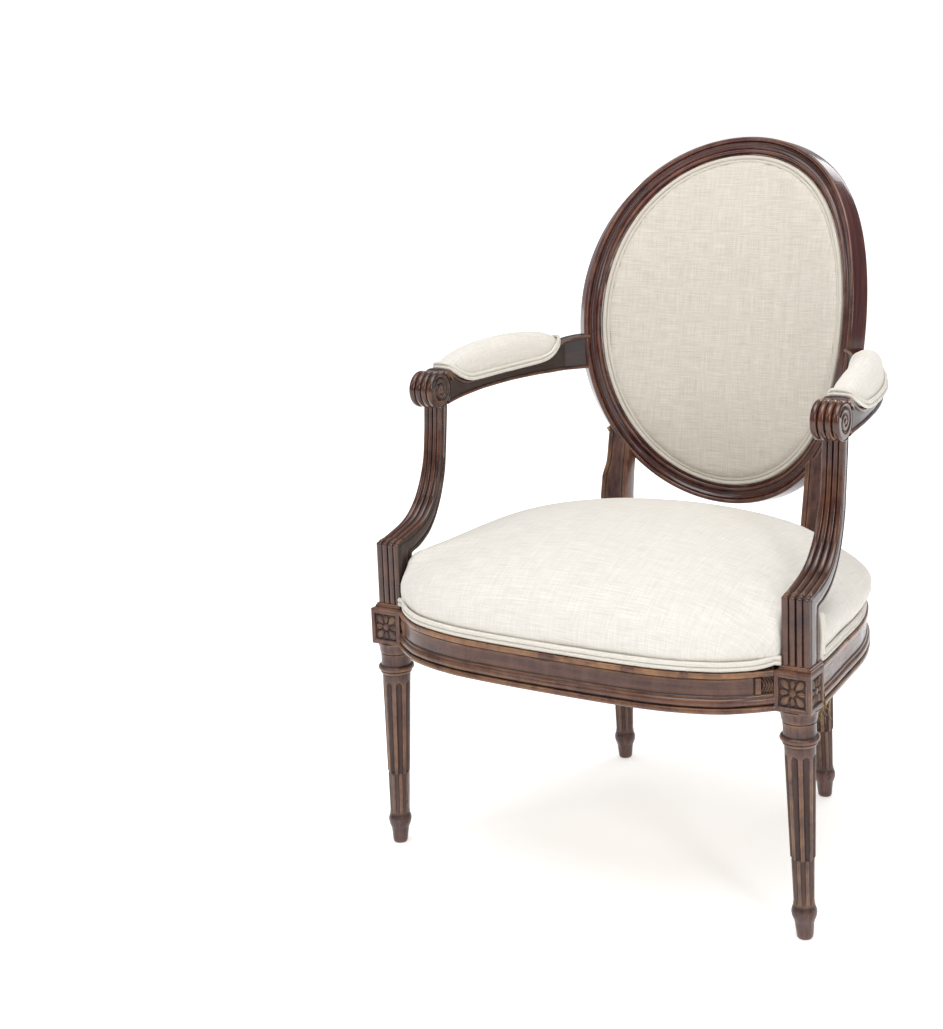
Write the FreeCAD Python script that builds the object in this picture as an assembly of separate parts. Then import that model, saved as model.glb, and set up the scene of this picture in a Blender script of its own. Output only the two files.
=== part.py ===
import FreeCAD, Part
import math, os

os.makedirs("parts", exist_ok=True)
V = FreeCAD.Vector

# ---------------------------------------------------------------- driving dimensions (mm)
# The chair faces -Y, +Z is up, and "left" is the sitter's left, which is +X.
Y_SHIFT = 3.95           # puts the middle of the whole box on Y = 0

RAIL_Z0 = 276.0          # underside of the seat rails
RAIL_Z1 = 323.5          # top of the seat rails
RAIL_T = 29.0            # rail thickness
BEAD_OUT = 3.2           # how far the lower moulding of the rails stands out
FILLET_OUT = 1.6         # how far the top fillet of the rails stands out
BEAD_H = 10.0
FILLET_H = 5.0

# outer face of the rails in plan (right half is mirrored)
FRONT_PLAN = [(0, -305), (45, -304.6), (85, -303.4), (145, -298.5), (205, -281.5), (234, -263), (257.5, -243)]
SIDE_PLAN = [(299.5, -203.5), (296.5, -160), (293, -120), (285.5, -40), (273, 10), (256.5, 51), (226, 94), (174, 143)]

BLOCK_X0, BLOCK_X1 = 257.5, 302.5       # front leg block
BLOCK_Y0, BLOCK_Y1 = -245.5, -203.5
LEG_X, LEG_Y = 280.0, -224.5
LEG_SPLAY_X = 6.5                        # how far the front foot stands outside the block's centre
RB_X0, RB_X1 = 130.0, 174.0             # rear leg block
RB_Y0, RB_Y1 = 127.0, 169.0
RLEG_X, RLEG_Y = 152.0, 148.0
RLEG_FX, RLEG_FY = 157.0, 160.0

FOOT_R, ANKLE_R, SHAFT_R0, SHAFT_R1, RING_R, NECK_R = 9.6, 15.0, 12.9, 18.0, 23.0, 19.6
FLUTES = 8
FLUTE_R = 3.6

POST_W = 34.0            # arm post width at the block
POST_TOP_W = 27.5        # and under the scroll
POST_X = 280.0
POST_Y0, POST_Y1 = -235.0, -201.0

SCROLL_X, SCROLL_Y, SCROLL_Z = 279.5, -125.0, 589.5
SCROLL_R, SCROLL_W = 24.0, 35.0

# plan curve of the arm, from the back frame to the scroll (cubic control points)
ARM_P = [(203.0, 149.0), (253.0, 98.0), (279.5, -5.0), (279.5, -105.0)]

# oval back: arc-length semi-axes on a cylinder of radius BACK_R, leaning back by RAKE
BACK_A, BACK_B, BACK_R = 221.0, 257.0, 272.0
BACK_Y, BACK_Z, RAKE = 229.0, 647.6, 0.188
FRAME_T, FRAME_W, FACE_W = 24.0, 46.0, 26.0
REBATE = 3.4
WELT_W = 11.0

CLEAR = 0.4              # gap kept by soft parts


# ---------------------------------------------------------------- helpers
def bez(p, t):
    a, b, c, d = p
    k = 1 - t
    return tuple(k ** 3 * a[i] + 3 * k * k * t * b[i] + 3 * k * t * t * c[i] + t ** 3 * d[i] for i in range(2))


def bez_tan(p, t):
    a, b, c, d = p
    k = 1 - t
    v = [3 * k * k * (b[i] - a[i]) + 6 * k * t * (c[i] - b[i]) + 3 * t * t * (d[i] - c[i]) for i in range(2)]
    n = math.hypot(v[0], v[1])
    return v[0] / n, v[1] / n


def lin(tab, x):
    """piecewise linear table [(x, y), ...] in rising x"""
    if x <= tab[0][0]:
        return tab[0][1]
    for (x0, y0), (x1, y1) in zip(tab, tab[1:]):
        if x <= x1:
            return y0 + (y1 - y0) * (x - x0) / (x1 - x0)
    return tab[-1][1]


def curve2(pts):
    c = Part.BSplineCurve()
    c.interpolate([V(x, y, 0) for x, y in pts])
    return c


def sample(pts, n):
    """points and outward normals along a plan curve that runs counter-clockwise"""
    c = curve2(pts)
    a, b = c.FirstParameter, c.LastParameter
    out = []
    for i in range(n):
        s = a + (b - a) * i / (n - 1)
        p = c.value(s)
        tx, ty = c.tangent(s)[0].x, c.tangent(s)[0].y
        k = math.hypot(tx, ty)
        out.append(((p.x, p.y), (ty / k, -tx / k)))
    return out


def shifted(sm, d):
    return [(p[0] + n[0] * d, p[1] + n[1] * d) for p, n in sm]


def strip(sm, d_out, d_in, z0, z1):
    """bar between two offsets of one plan curve"""
    o = [V(x, y, z0) for x, y in shifted(sm, d_out)]
    i = [V(x, y, z0) for x, y in shifted(sm, -d_in)]
    co, ci = Part.BSplineCurve(), Part.BSplineCurve()
    co.interpolate(o)
    ci.interpolate(i[::-1])
    w = Part.Wire([co.toShape(), Part.makeLine(o[-1], i[-1]), ci.toShape(), Part.makeLine(i[0], o[0])])
    return Part.Face(w).extrude(V(0, 0, z1 - z0))


def box(x0, x1, y0, y1, z0, z1):
    return Part.makeBox(x1 - x0, y1 - y0, z1 - z0, V(x0, y0, z0))


def cyl(p, d, r, h):
    return Part.makeCylinder(r, h, V(*p), V(*d))


def poly_prism(pts, direction):
    f = Part.Face(Part.makePolygon([V(*p) for p in pts] + [V(*pts[0])]))
    return f.extrude(V(*direction))


def mir(s):
    return s.mirror(V(0, 0, 0), V(1, 0, 0))


def biggest(s):
    return max(s.Solids, key=lambda q: q.Volume)


def lowest(s):
    return min(s.Solids, key=lambda q: q.CenterOfMass.z)


def tri_solid(rings, loop=False):
    """closed solid of flat triangles through rings of equal length"""
    n = len(rings[0])
    faces = []

    def tri(a, b, c):
        if a.isEqual(b, 1e-6) or b.isEqual(c, 1e-6) or a.isEqual(c, 1e-6):
            return
        faces.append(Part.Face(Part.makePolygon([a, b, c, a])))

    m = len(rings)
    for k in range(m if loop else m - 1):
        r0, r1 = rings[k], rings[(k + 1) % m]
        for i in range(n):
            j = (i + 1) % n
            tri(r0[i], r0[j], r1[j])
            tri(r0[i], r1[j], r1[i])
    if not loop:
        for r in (rings[0], rings[-1]):
            c = V(0, 0, 0)
            for p in r:
                c = c + p
            c = c * (1.0 / n)
            for i in range(n):
                tri(r[i], r[(i + 1) % n], c)
    sh = Part.makeShell(faces)
    sh.sewShape()
    s = Part.makeSolid(sh.Shells[0] if sh.ShapeType != "Shell" else sh)
    if s.Volume < 0:
        s.reverse()
    return s


def ring_loft(rings):
    """smooth closed solid through level closed rings"""
    ws = []
    for r in rings:
        c = Part.BSplineCurve()
        c.interpolate(Points=[V(*p) for p in r], PeriodicFlag=True)
        ws.append(Part.Wire([c.toShape()]))
    return Part.makeLoft(ws, True, True)


PARTS = {}


def put(name, shape):
    PARTS[name] = shape


# ---------------------------------------------------------------- oval back geometry
def uvn(u, v, n):
    """a point of the back: u along the arc, v up the rake, n behind the front surface"""
    a = u / BACK_R
    x = (BACK_R + n) * math.sin(a)
    fy = -BACK_R + (BACK_R + n) * math.cos(a)
    cr, sr = math.cos(RAKE), math.sin(RAKE)
    return V(x, BACK_Y + v * sr + fy * cr, BACK_Z + v * cr - fy * sr)


def inward(t):
    nu, nv = BACK_B * math.cos(t), BACK_A * math.sin(t)
    k = math.hypot(nu, nv)
    return -nu / k, -nv / k


def oval(t, w, n):
    """point of the back at angle t, w inside the outer edge, n behind the front face"""
    nu, nv = inward(t)
    u, v = BACK_A * math.cos(t) + nu * w, BACK_B * math.sin(t) + nv * w
    full = (23.0 ** 2) * nu * nu / (2 * BACK_R)
    corr = (w - 23.0) ** 2 * nu * nu / (2 * BACK_R) if w <= 46 else full * max(0.0, 1 - (w - 46) / 60.0)
    return uvn(u, v, n + corr)


def oval_s(t, s, w0, n):
    """point inside the ring w0, shrunk towards the middle by s"""
    nu, nv = inward(t)
    u, v = (BACK_A * math.cos(t) + nu * w0) * s, (BACK_B * math.sin(t) + nv * w0) * s
    full = (23.0 ** 2) * nu * nu / (2 * BACK_R)
    corr = full * max(0.0, 1 - (1 - s) * 3.0)
    return uvn(u, v, n + corr)


def section(t, wn):
    """flat cross-section of the back frame at angle t"""
    nu, nv = inward(t)
    u, v = BACK_A * math.cos(t) + nu * 23.0, BACK_B * math.sin(t) + nv * 23.0
    m = uvn(u, v, 0)
    dn = uvn(u, v, 1) - m
    a = u / BACK_R
    cr, sr = math.cos(RAKE), math.sin(RAKE)
    eu = V(math.cos(a), -math.sin(a) * cr, math.sin(a) * sr)
    ev = V(0, sr, cr)
    dw = eu * nu + ev * nv
    pts = [m + dw * (w - 23.0) + dn * n for w, n in wn]
    return Part.makePolygon(pts + [pts[0]])


FRAME_SEC = [(1.5, 0), (FACE_W, 0), (FACE_W, REBATE), (FRAME_W, REBATE), (FRAME_W, FRAME_T - REBATE),
             (FACE_W, FRAME_T - REBATE), (FACE_W, FRAME_T), (1.5, FRAME_T), (0, FRAME_T - 2), (0, 2)]


def frame_segment(t0, t1, n=9):
    return Part.makeLoft([section(t0 + (t1 - t0) * i / (n - 1), FRAME_SEC) for i in range(n)], True, False)


D = math.pi / 180
J_TOP, J_LOW = 48 * D, -52 * D
crest = frame_segment(J_TOP, math.pi - J_TOP, 9)
side_l = frame_segment(J_LOW, J_TOP, 9)
side_r = mir(side_l)
lower = frame_segment(math.pi - J_LOW, 2 * math.pi + J_LOW, 9)

# dowels across the four joints of the oval, two to a joint
frame_dowels = []
for t in (J_TOP, math.pi - J_TOP, J_LOW, math.pi - J_LOW):
    for w in (14.0, 33.0):
        a, b = oval(t - 0.05, w, 12.0), oval(t + 0.05, w, 12.0)
        mid = oval(t, w, 12.0)
        d = (b - a).normalize()
        frame_dowels.append(Part.makeCylinder(4.0, 34.0, mid - d * 17.0, d))

# ---------------------------------------------------------------- turned legs
SHAFT_TOP_Z = 228.0
LEG_PROFILE = [(0, -1.0), (FOOT_R, -1.0), (10.3, 8), (11.4, 19.5), (12.2, 22.5), (14.0, 27.5), (14.8, 30.5), (ANKLE_R, 33),
               (14.6, 35.5), (13.7, 37.8), (SHAFT_R0, 39.5), (SHAFT_R1, SHAFT_TOP_Z), (17.6, 232), (18.6, 234.6),
               (21.4, 236), (22.7, 239), (RING_R, 242), (22.7, 245), (21.4, 248), (NECK_R, 249.6),
               (NECK_R, 255), (20.6, 263), (21.6, 270), (21.8, RAIL_Z0), (0, RAIL_Z0)]


def turned_leg():
    w = Part.makePolygon([V(r, 0, z) for r, z in LEG_PROFILE] + [V(0, 0, -1.0)])
    leg = Part.Face(w).revolve(V(0, 0, 0), V(0, 0, 1), 360)
    z0, z1 = 100.0, 222.0
    slope = (SHAFT_R1 - SHAFT_R0) / (SHAFT_TOP_Z - 39.5)
    cuts = []
    for k in range(FLUTES):
        a = 2 * math.pi * k / FLUTES
        r0 = SHAFT_R0 + slope * (z0 - 39.5) + 1.3
        r1 = SHAFT_R0 + slope * (z1 - 39.5) + 1.3
        p0 = V(r0 * math.cos(a), r0 * math.sin(a), z0)
        p1 = V(r1 * math.cos(a), r1 * math.sin(a), z1)
        d = p1 - p0
        h = d.Length
        d.normalize()
        cuts.append(Part.makeCylinder(FLUTE_R * 0.9, h, p0, d))
        cuts.append(Part.makeSphere(FLUTE_R * 0.9, p1))
    tool = cuts[0].fuse(cuts[1:])
    return leg.cut(tool)


LEG = turned_leg()


def placed_leg(x_top, y_top, x_foot, y_foot):
    """the turned leg leaned so that its foot comes to (x_foot, y_foot), sawn level at the floor"""
    s = LEG.copy()
    dx, dy = x_foot - x_top, y_foot - y_top
    s.rotate(V(0, 0, RAIL_Z0), V(0, 1, 0), -math.degrees(math.atan(dx / RAIL_Z0)))
    s.rotate(V(0, 0, RAIL_Z0), V(1, 0, 0), math.degrees(math.atan(dy / RAIL_Z0)))
    s.translate(V(x_top, y_top, 0))
    s = s.common(box(x_top - 60, x_top + 60, y_top - 60, y_top + 60, 0, RAIL_Z0 + 40))
    return s


def sunk_panel(block, axis):
    """square sunk field with a low round boss, on the front (-Y) or outer (+X) face"""
    x0, x1, y0, y1 = BLOCK_X0, BLOCK_X1, BLOCK_Y0, BLOCK_Y1
    zc = (RAIL_Z0 + RAIL_Z1) / 2
    if axis == "front":
        xc = (x0 + x1) / 2
        block = block.cut(box(xc - 17, xc + 17, y0 - 1, y0 + 2.0, zc - 18, zc + 18))
        return block.fuse(cyl((xc, y0 + 2.0, zc), (0, -1, 0), 14.0, 1.6))
    yc = (y0 + y1) / 2
    block = block.cut(box(x1 - 2.0, x1 + 1, yc - 16, yc + 16, zc - 18, zc + 18))
    return block.fuse(cyl((x1 - 2.0, yc, zc), (1, 0, 0), 14.0, 1.6))


# ---------------------------------------------------------------- front leg, post and console
block = box(BLOCK_X0, BLOCK_X1, BLOCK_Y0, BLOCK_Y1, RAIL_Z0, RAIL_Z1)
block = sunk_panel(sunk_panel(block, "front"), "outer")
front_leg = placed_leg(LEG_X, LEG_Y, LEG_X + LEG_SPLAY_X, LEG_Y - 1.0).fuse(block)

SIDE_VIEW = [(POST_Y0, RAIL_Z1), (POST_Y0, 403.0)]
TOP_EDGE = [(-235, 403), (-231, 407.5), (-216, 411.5), (-202, 415), (-172, 426), (-151, 445), (-136, 473),
            (-128.5, 500), (-124, 533), (-121.5, 580)]
UNDER_EDGE = [(-103.5, 580), (-105.5, 555), (-109.5, 520), (-116, 482), (-127, 455), (-143, 426), (-164, 404),
              (-185, 393), (POST_Y1, 389)]
c_top, c_under = Part.BSplineCurve(), Part.BSplineCurve()
c_top.interpolate([V(0, y, z) for y, z in TOP_EDGE])
c_under.interpolate([V(0, y, z) for y, z in UNDER_EDGE])
w = Part.Wire([Part.makeLine(V(0, POST_Y0, RAIL_Z1), V(0, POST_Y0, 403)), c_top.toShape(),
               Part.makeLine(V(0, -121.5, 580), V(0, -103.5, 580)), c_under.toShape(),
               Part.makeLine(V(0, POST_Y1, 389), V(0, POST_Y1, RAIL_Z1)),
               Part.makeLine(V(0, POST_Y1, RAIL_Z1), V(0, POST_Y0, RAIL_Z1))])
prism = Part.Face(w).extrude(V(60, 0, 0))
prism.translate(V(POST_X - 30, 0, 0))
hw0, hw1 = POST_W / 2, POST_TOP_W / 2
taper = poly_prism([(POST_X - hw0, -400, RAIL_Z1), (POST_X + hw0, -400, RAIL_Z1), (POST_X + hw0, -400, 405),
                    (POST_X + hw0 - 1, -400, 440), (POST_X + hw1, -400, 500), (POST_X + hw1, -400, 590),
                    (POST_X - hw1, -400, 590), (POST_X - hw1, -400, 500), (POST_X - hw0 + 1, -400, 440),
                    (POST_X - hw0, -400, 405)], (0, 500, 0))
arm_support = prism.common(taper)

# ---------------------------------------------------------------- arm
ARM_TOP = [(0.0, 629.0), (0.10, 627.0), (0.17, 623.5), (0.20, 619.0), (0.27, 606.0), (0.36, 600.0), (0.62, 596.0),
           (0.86, 593.5), (0.93, 600.0), (0.985, 611.5), (1.0, 613.0)]
ARM_BOT = [(0.0, 581.0), (0.35, 581.5), (0.55, 580.0), (0.75, 577.0), (0.9, 572.5), (1.0, 567.5)]
ARM_HW = [(0.0, 12.0), (0.16, 13.0), (0.24, 18.0), (0.34, 20.5), (0.7, 20.5), (0.88, 19.0), (0.96, 17.0), (1.0, 16.5)]
PAD_T0, PAD_T1 = 0.19, 0.97


def arm_frame(t):
    if t < 0:
        x, y = bez(ARM_P, 0.0)
        tx, ty = bez_tan(ARM_P, 0.0)
        x, y = x + tx * t, y + ty * t
    else:
        x, y = bez(ARM_P, t)
        tx, ty = bez_tan(ARM_P, t)
    return x, y, tx, ty


def arm_wire(t, ez):
    x, y, tx, ty = arm_frame(t)
    ox, oy = -ty, tx           # outward side of the travel from back to front
    pts = [V(x + ox * e, y + oy * e, z) for e, z in ez]
    return Part.makePolygon(pts + [pts[0]])


def arm_section(t):
    k = max(t, 0.0)
    zb, zt, h = lin(ARM_BOT, k), lin(ARM_TOP, k), lin(ARM_HW, k)
    r = min(5.0, (zt - zb) * 0.3)
    return arm_wire(t, [(-h + r, zb), (h - r, zb), (h, zb + r), (h, zt - 1.2), (h - 1.2, zt), (-h + 1.2, zt), (-h, zt - 1.2), (-h, zb + r)])


arm_ts = [-14.0, 0.0, 0.06, 0.10, 0.14, 0.17, 0.20, 0.235, 0.27, 0.31, 0.36, 0.45, 0.54, 0.62, 0.7, 0.78, 0.86, 0.9, 0.93, 0.96, 0.985, 1.0]
arm = Part.makeLoft([arm_section(t) for t in arm_ts], True, True)
scroll = cyl((SCROLL_X - SCROLL_W / 2, SCROLL_Y, SCROLL_Z), (1, 0, 0), SCROLL_R, SCROLL_W)
neck = poly_prism([(SCROLL_X - 16.5, -126, 613.0), (SCROLL_X - 16.5, -104.9, 613.0), (SCROLL_X - 16.5, -104.9, 567.5),
                   (SCROLL_X - 16.5, -126, 580)], (33, 0, 0))
arm = arm.fuse([scroll, neck])
arm = biggest(arm.cut(side_l))
arm_support = lowest(arm_support.cut(arm))

support_tenon = cyl((287.5, -226.5, RAIL_Z1 - 26), (0, 0, 1), 6.0, 27.0)      # post into the block
arm_support = arm_support.fuse(support_tenon)
front_leg = front_leg.cut(support_tenon)
arm_dowel_front = cyl((SCROLL_X, -113.5, 548), (0, 0, 1), 4.0, 46.0)          # console into the scroll
arm_support = arm_support.cut(arm_dowel_front)
arm = arm.cut(arm_dowel_front)

# dowels from the arm into the edge of the oval
ax, ay, atx, aty = arm_frame(0.0)
arm_dowels_rear = []
for z in (594.0, 614.0):
    arm_dowels_rear.append(cyl((ax - atx * 22, ay - aty * 22, z), (atx, aty, 0), 3.6, 48.0))
for dwl in arm_dowels_rear:
    arm = arm.cut(dwl)
    side_l = side_l.cut(dwl)

# ---------------------------------------------------------------- rear leg with its upright
rear_block = box(RB_X0, RB_X1, RB_Y0, RB_Y1, RAIL_Z0, RAIL_Z1)
rear_leg = placed_leg(RLEG_X, RLEG_Y, RLEG_FX, RLEG_FY).fuse(rear_block)
UPRIGHT = [(323.5, 130.0, 174.0, 127.0, 163.0), (345, 131.0, 173.0, 127.6, 160.5), (372, 132.5, 171.5, 129.6, 159.0),
           (400, 133.5, 169.5, 133.8, 160.5), (430, 134.0, 168.0, 139.4, 165.0), (455, 134.0, 168.0, 144.6, 169.8),
           (480, 134.0, 168.0, 150.2, 175.2), (505, 134.0, 168.0, 156.0, 181.0), (520, 134.0, 168.0, 159.5, 184.5)]


def rect(z, x0, x1, y0, y1):
    p = [V(x0, y0, z), V(x1, y0, z), V(x1, y1, z), V(x0, y1, z)]
    return Part.makePolygon(p + [p[0]])


upright = Part.makeLoft([rect(*u) for u in UPRIGHT], True, True)

# everything inside the outer edge of the oval, to saw the upright's head to the frame
TOOL_SEC = [(1.5, 0), (1.5, -60), (70, -60), (70, 80), (1.5, 80), (1.5, FRAME_T), (0, FRAME_T - 2), (0, 2)]


def edge_tool(t0, t1, n=9):
    return Part.makeLoft([section(t0 + (t1 - t0) * i / (n - 1), TOOL_SEC) for i in range(n)], True, False)


upright = lowest(upright.cut(edge_tool(J_LOW, J_TOP)))
upright = lowest(upright.cut(edge_tool(math.pi - J_LOW, 2 * math.pi + J_LOW)))
rear_leg = rear_leg.fuse(upright)

# dowels from each upright into the oval
up_dowels = []
for tt in (-46 * D, -39.5 * D):
    p = oval(tt, 10.0, 12.0)
    q = oval(tt, -16.0, 12.0)
    d = (p - q).normalize()
    up_dowels.append(Part.makeCylinder(3.2, 30.0, p - d * 16.0, d))
for dwl in up_dowels:
    rear_leg = rear_leg.cut(dwl)
    side_l = side_l.cut(dwl)

# ---------------------------------------------------------------- seat rails
fr_half = FRONT_PLAN
fr_pts = [(-x, y) for x, y in fr_half[::-1]][:-1] + fr_half
fr = sample(fr_pts, 33)
sd = sample(SIDE_PLAN, 21)


def rail(sm):
    s = strip(sm, BEAD_OUT, RAIL_T, RAIL_Z0, RAIL_Z0 + BEAD_H)
    s = s.fuse([strip(sm, 0.0, RAIL_T, RAIL_Z0 + BEAD_H, RAIL_Z1 - FILLET_H),
                strip(sm, FILLET_OUT, RAIL_T, RAIL_Z1 - FILLET_H, RAIL_Z1)])
    return s


def long_sample(sm, ext0, ext1):
    """the same curve run on straight past both ends"""
    (p0, n0), (p1, n1) = sm[0], sm[-1]
    a = ((p0[0] + n0[1] * ext0, p0[1] - n0[0] * ext0), n0)
    b = ((p1[0] - n1[1] * ext1, p1[1] + n1[0] * ext1), n1)
    return [a] + sm + [b]


front_rail = rail(long_sample(fr, 14, 14))
big_block_l = box(BLOCK_X0, BLOCK_X1 + 60, BLOCK_Y0 - 60, BLOCK_Y1, RAIL_Z0 - 5, RAIL_Z1 + 5)
cut_l = big_block_l
front_rail = front_rail.cut(cut_l).cut(mir(cut_l))
front_rail = front_rail.cut(box(BLOCK_X0, BLOCK_X1 + 60, -260, -150, 270, 330)).cut(mir(box(BLOCK_X0, BLOCK_X1 + 60, -260, -150, 270, 330)))
front_rail = biggest(front_rail)
t_fr = box(BLOCK_X0 - 1, BLOCK_X0 + 20, -232, -221, RAIL_Z0 + 7, RAIL_Z1 - 8)
front_rail = front_rail.fuse([t_fr, mir(t_fr)])
front_leg = front_leg.cut(t_fr)

side_rail = rail(long_sample(sd, 3, 16))
side_rail = side_rail.cut(box(200, 320, -300, BLOCK_Y1, 270, 330))
side_rail = side_rail.cut(box(RB_X0 - 60, RB_X1, RB_Y0, RB_Y1 + 60, 270, 330))
side_rail = side_rail.cut(box(RB_X0 - 80, RB_X0 + 2, 60, RB_Y1 + 60, 270, 330))
side_rail = biggest(side_rail)
t_sf = box(274, 285, BLOCK_Y1 - 14, BLOCK_Y1 + 1, RAIL_Z0 + 7, RAIL_Z1 - 8)
t_sr = box(RB_X1 - 15, RB_X1 + 1, 134, 144, RAIL_Z0 + 7, RAIL_Z1 - 8)
side_rail = side_rail.fuse([t_sf, t_sr])
front_leg = front_leg.cut(t_sf)
rear_leg = rear_leg.cut(t_sr)

back_rail = box(-RB_X0, RB_X0, 136, 163, RAIL_Z0, RAIL_Z1)
t_br = box(RB_X0 - 1, RB_X0 + 14, 147.5, 157.5, RAIL_Z0 + 7, RAIL_Z1 - 8)
back_rail = back_rail.fuse([t_br, mir(t_br)])
rear_leg = rear_leg.cut(t_br)

# pegs through the tenons
pegs = []
peg_f = cyl((268, BLOCK_Y1 - 34, 300), (0, 1, 0), 3.0, 34.0)
pegs.append(peg_f)
front_rail = front_rail.cut(peg_f).cut(mir(peg_f))
front_leg = front_leg.cut(peg_f)
peg_b = cyl((137, RB_Y1 - 32, 300), (0, 1, 0), 3.0, 32.0)
pegs.append(peg_b)
back_rail = back_rail.cut(peg_b).cut(mir(peg_b))
rear_leg = rear_leg.cut(peg_b)

# glued corner blocks inside the frame
cb_front = poly_prism([(256.5, -206, RAIL_Z0 + 8), (256.5, -160, RAIL_Z0 + 8), (212, -206, RAIL_Z0 + 8)], (0, 0, 30))
cb_front = biggest(cb_front.cut(front_rail).cut(side_rail).cut(front_leg))
cb_rear = poly_prism([(129.5, 135.5, RAIL_Z0 + 8), (129.5, 126.5, RAIL_Z0 + 8), (145, 126.5, RAIL_Z0 + 8), (170, 100, RAIL_Z0 + 8), (150, 92, RAIL_Z0 + 8), (92, 135.5, RAIL_Z0 + 8)], (0, 0, 30))
cb_rear = biggest(cb_rear.cut(side_rail).cut(rear_leg).cut(back_rail))
corner_blocks = [cb_front, mir(cb_front), cb_rear, mir(cb_rear)]

# ---------------------------------------------------------------- seat outline for the soft parts
RIM = []          # closed plan outline, counter-clockwise, without the notches for the posts
half = [p for p, n in sample(FRONT_PLAN, 17)][:-1]
half += [(262, -243.5), (281, -243.5), (297.5, -240), (300.5, -224)]
half += [p for p, n in sample(SIDE_PLAN, 19)]
half += [(160, 151), (140, 160), (118, 163), (80, 163.5), (40, 163.5), (0, 163.5)]
RIM = half + [(-x, y) for x, y in half[::-1][1:-1]]
NR = len(RIM)


def rim_normals(pts):
    out = []
    n = len(pts)
    for i in range(n):
        a, b = pts[i - 1], pts[(i + 1) % n]
        tx, ty = b[0] - a[0], b[1] - a[1]
        k = math.hypot(tx, ty)
        out.append((ty / k, -tx / k))
    return out


RN = rim_normals(RIM)
CX0, CY0 = 0.0, -62.0


# the pad swells past the side rails between the posts and the rear legs
SWELL_Y = [(-160, 0.0), (-120, 1.0), (-40, 4.5), (10, 8.0), (52, 9.0), (97, 6.5), (125, 2.0), (138, 0.0)]
SWELL_Z = [(337.0, 0.0), (345.0, 1.0), (361.0, 1.0), (373.0, 0.7), (395.0, 0.0)]


def rim(inset, z, s=1.0):
    r = []
    for (x, y), (nx, ny) in zip(RIM, RN):
        w = lin(SWELL_Y, y) * lin(SWELL_Z, z) if abs(x) > 170 and -160 < y < 138 else 0.0
        px, py = x - nx * (inset - w), y - ny * (inset - w)
        r.append((CX0 + (px - CX0) * s, CY0 + (py - CY0) * s, z))
    return r


# posts and rear legs stand through the upholstery
NOTCH = [box(BLOCK_X0 + 4.0, 340, -300, POST_Y1 + 1.5, RAIL_Z1 - 2, 480),
         box(RB_X0 - 1.0, RB_X1 + 30, RB_Y0 - 1.0, 220, RAIL_Z1 - 2, 480)]
NOTCH = NOTCH + [mir(b) for b in NOTCH]


def notched(s, grow=0.0):
    for b in NOTCH:
        s = s.cut(b)
    return s


SEAT_RINGS = [(6.6, RAIL_Z1 + 0.3, 1.0), (6.6, 337.0, 1.0), (3.2, 341.5, 1.0), (2.0, 350.0, 1.0), (4.0, 361.0, 1.0),
              (9.0, 373.0, 1.0), (12.0, 383.5, 0.957), (12.0, 396.0, 0.88), (12.0, 412.5, 0.74), (12.0, 428.0, 0.56),
              (12.0, 438.5, 0.36), (12.0, 444.0, 0.16)]
outer = ring_loft([rim(i, z, s) for i, z, s in SEAT_RINGS])
inner = ring_loft([rim(i + 3.0, RAIL_Z1 + 0.3 if k == 0 else z - (0 if k < 2 else 3.0), s) for k, (i, z, s) in enumerate(SEAT_RINGS)])
floor_slab = box(-330, 330, -330, 220, RAIL_Z1 - 5, RAIL_Z1 + 4.6)
seat_cover = biggest(notched(outer.cut(inner)))
seat_stuffing = biggest(notched(inner.cut(floor_slab)))

# double piping that covers the tacked edge, resting on the rail tops
welt_o = ring_loft([rim(0.6, RAIL_Z1 + 0.3), rim(0.6, RAIL_Z1 + 12.6)])
welt_i = ring_loft([rim(6.2, RAIL_Z1 - 1.0), rim(6.2, RAIL_Z1 + 13.0)])
seat_welt = welt_o.cut(welt_i)
for b in (box(BLOCK_X0 + 4.0, 340, -300, POST_Y1 + 0.5, 300, 480), box(RB_X0 - 0.5, RB_X1 + 30, RB_Y0 - 0.5, 220, 300, 480)):
    seat_welt = seat_welt.cut(b).cut(mir(b))

# webbing: two layers of straps over the seat opening, ends on the rail tops
inner_face = ring_loft([rim(10.6, RAIL_Z1 - 1.0), rim(10.6, RAIL_Z1 + 6.0)])
straps = []
for x in (-172.5, -115, -57.5, 0, 57.5, 115, 172.5):
    straps.append(box(x - 25, x + 25, -320, 220, RAIL_Z1, RAIL_Z1 + 1.5))
for y in (-208, -148, -88, -28, 32, 92):
    straps.append(box(-320, 320, y - 25, y + 25, RAIL_Z1 + 1.6, RAIL_Z1 + 3.1))
webbing = []
for s in straps:
    c = s.common(inner_face)
    for b in NOTCH:
        c = c.cut(b)
    webbing += c.Solids
hessian = box(-330, 330, -330, 220, RAIL_Z1 + 3.2, RAIL_Z1 + 4.4).common(inner_face)
for b in NOTCH:
    hessian = hessian.cut(b)

# linen-backed dust cloth tacked under the frame
under = ring_loft([rim(9.0, RAIL_Z0 - 1.6), rim(9.0, RAIL_Z0 - 0.2)])
for lx, ly, r in ((LEG_X, LEG_Y, 26), (RLEG_X, RLEG_Y, 27)):
    for sx in (1, -1):
        under = under.cut(cyl((sx * lx, ly, RAIL_Z0 - 8), (0, 0, 1), r, 14))
under = biggest(under)

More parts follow.
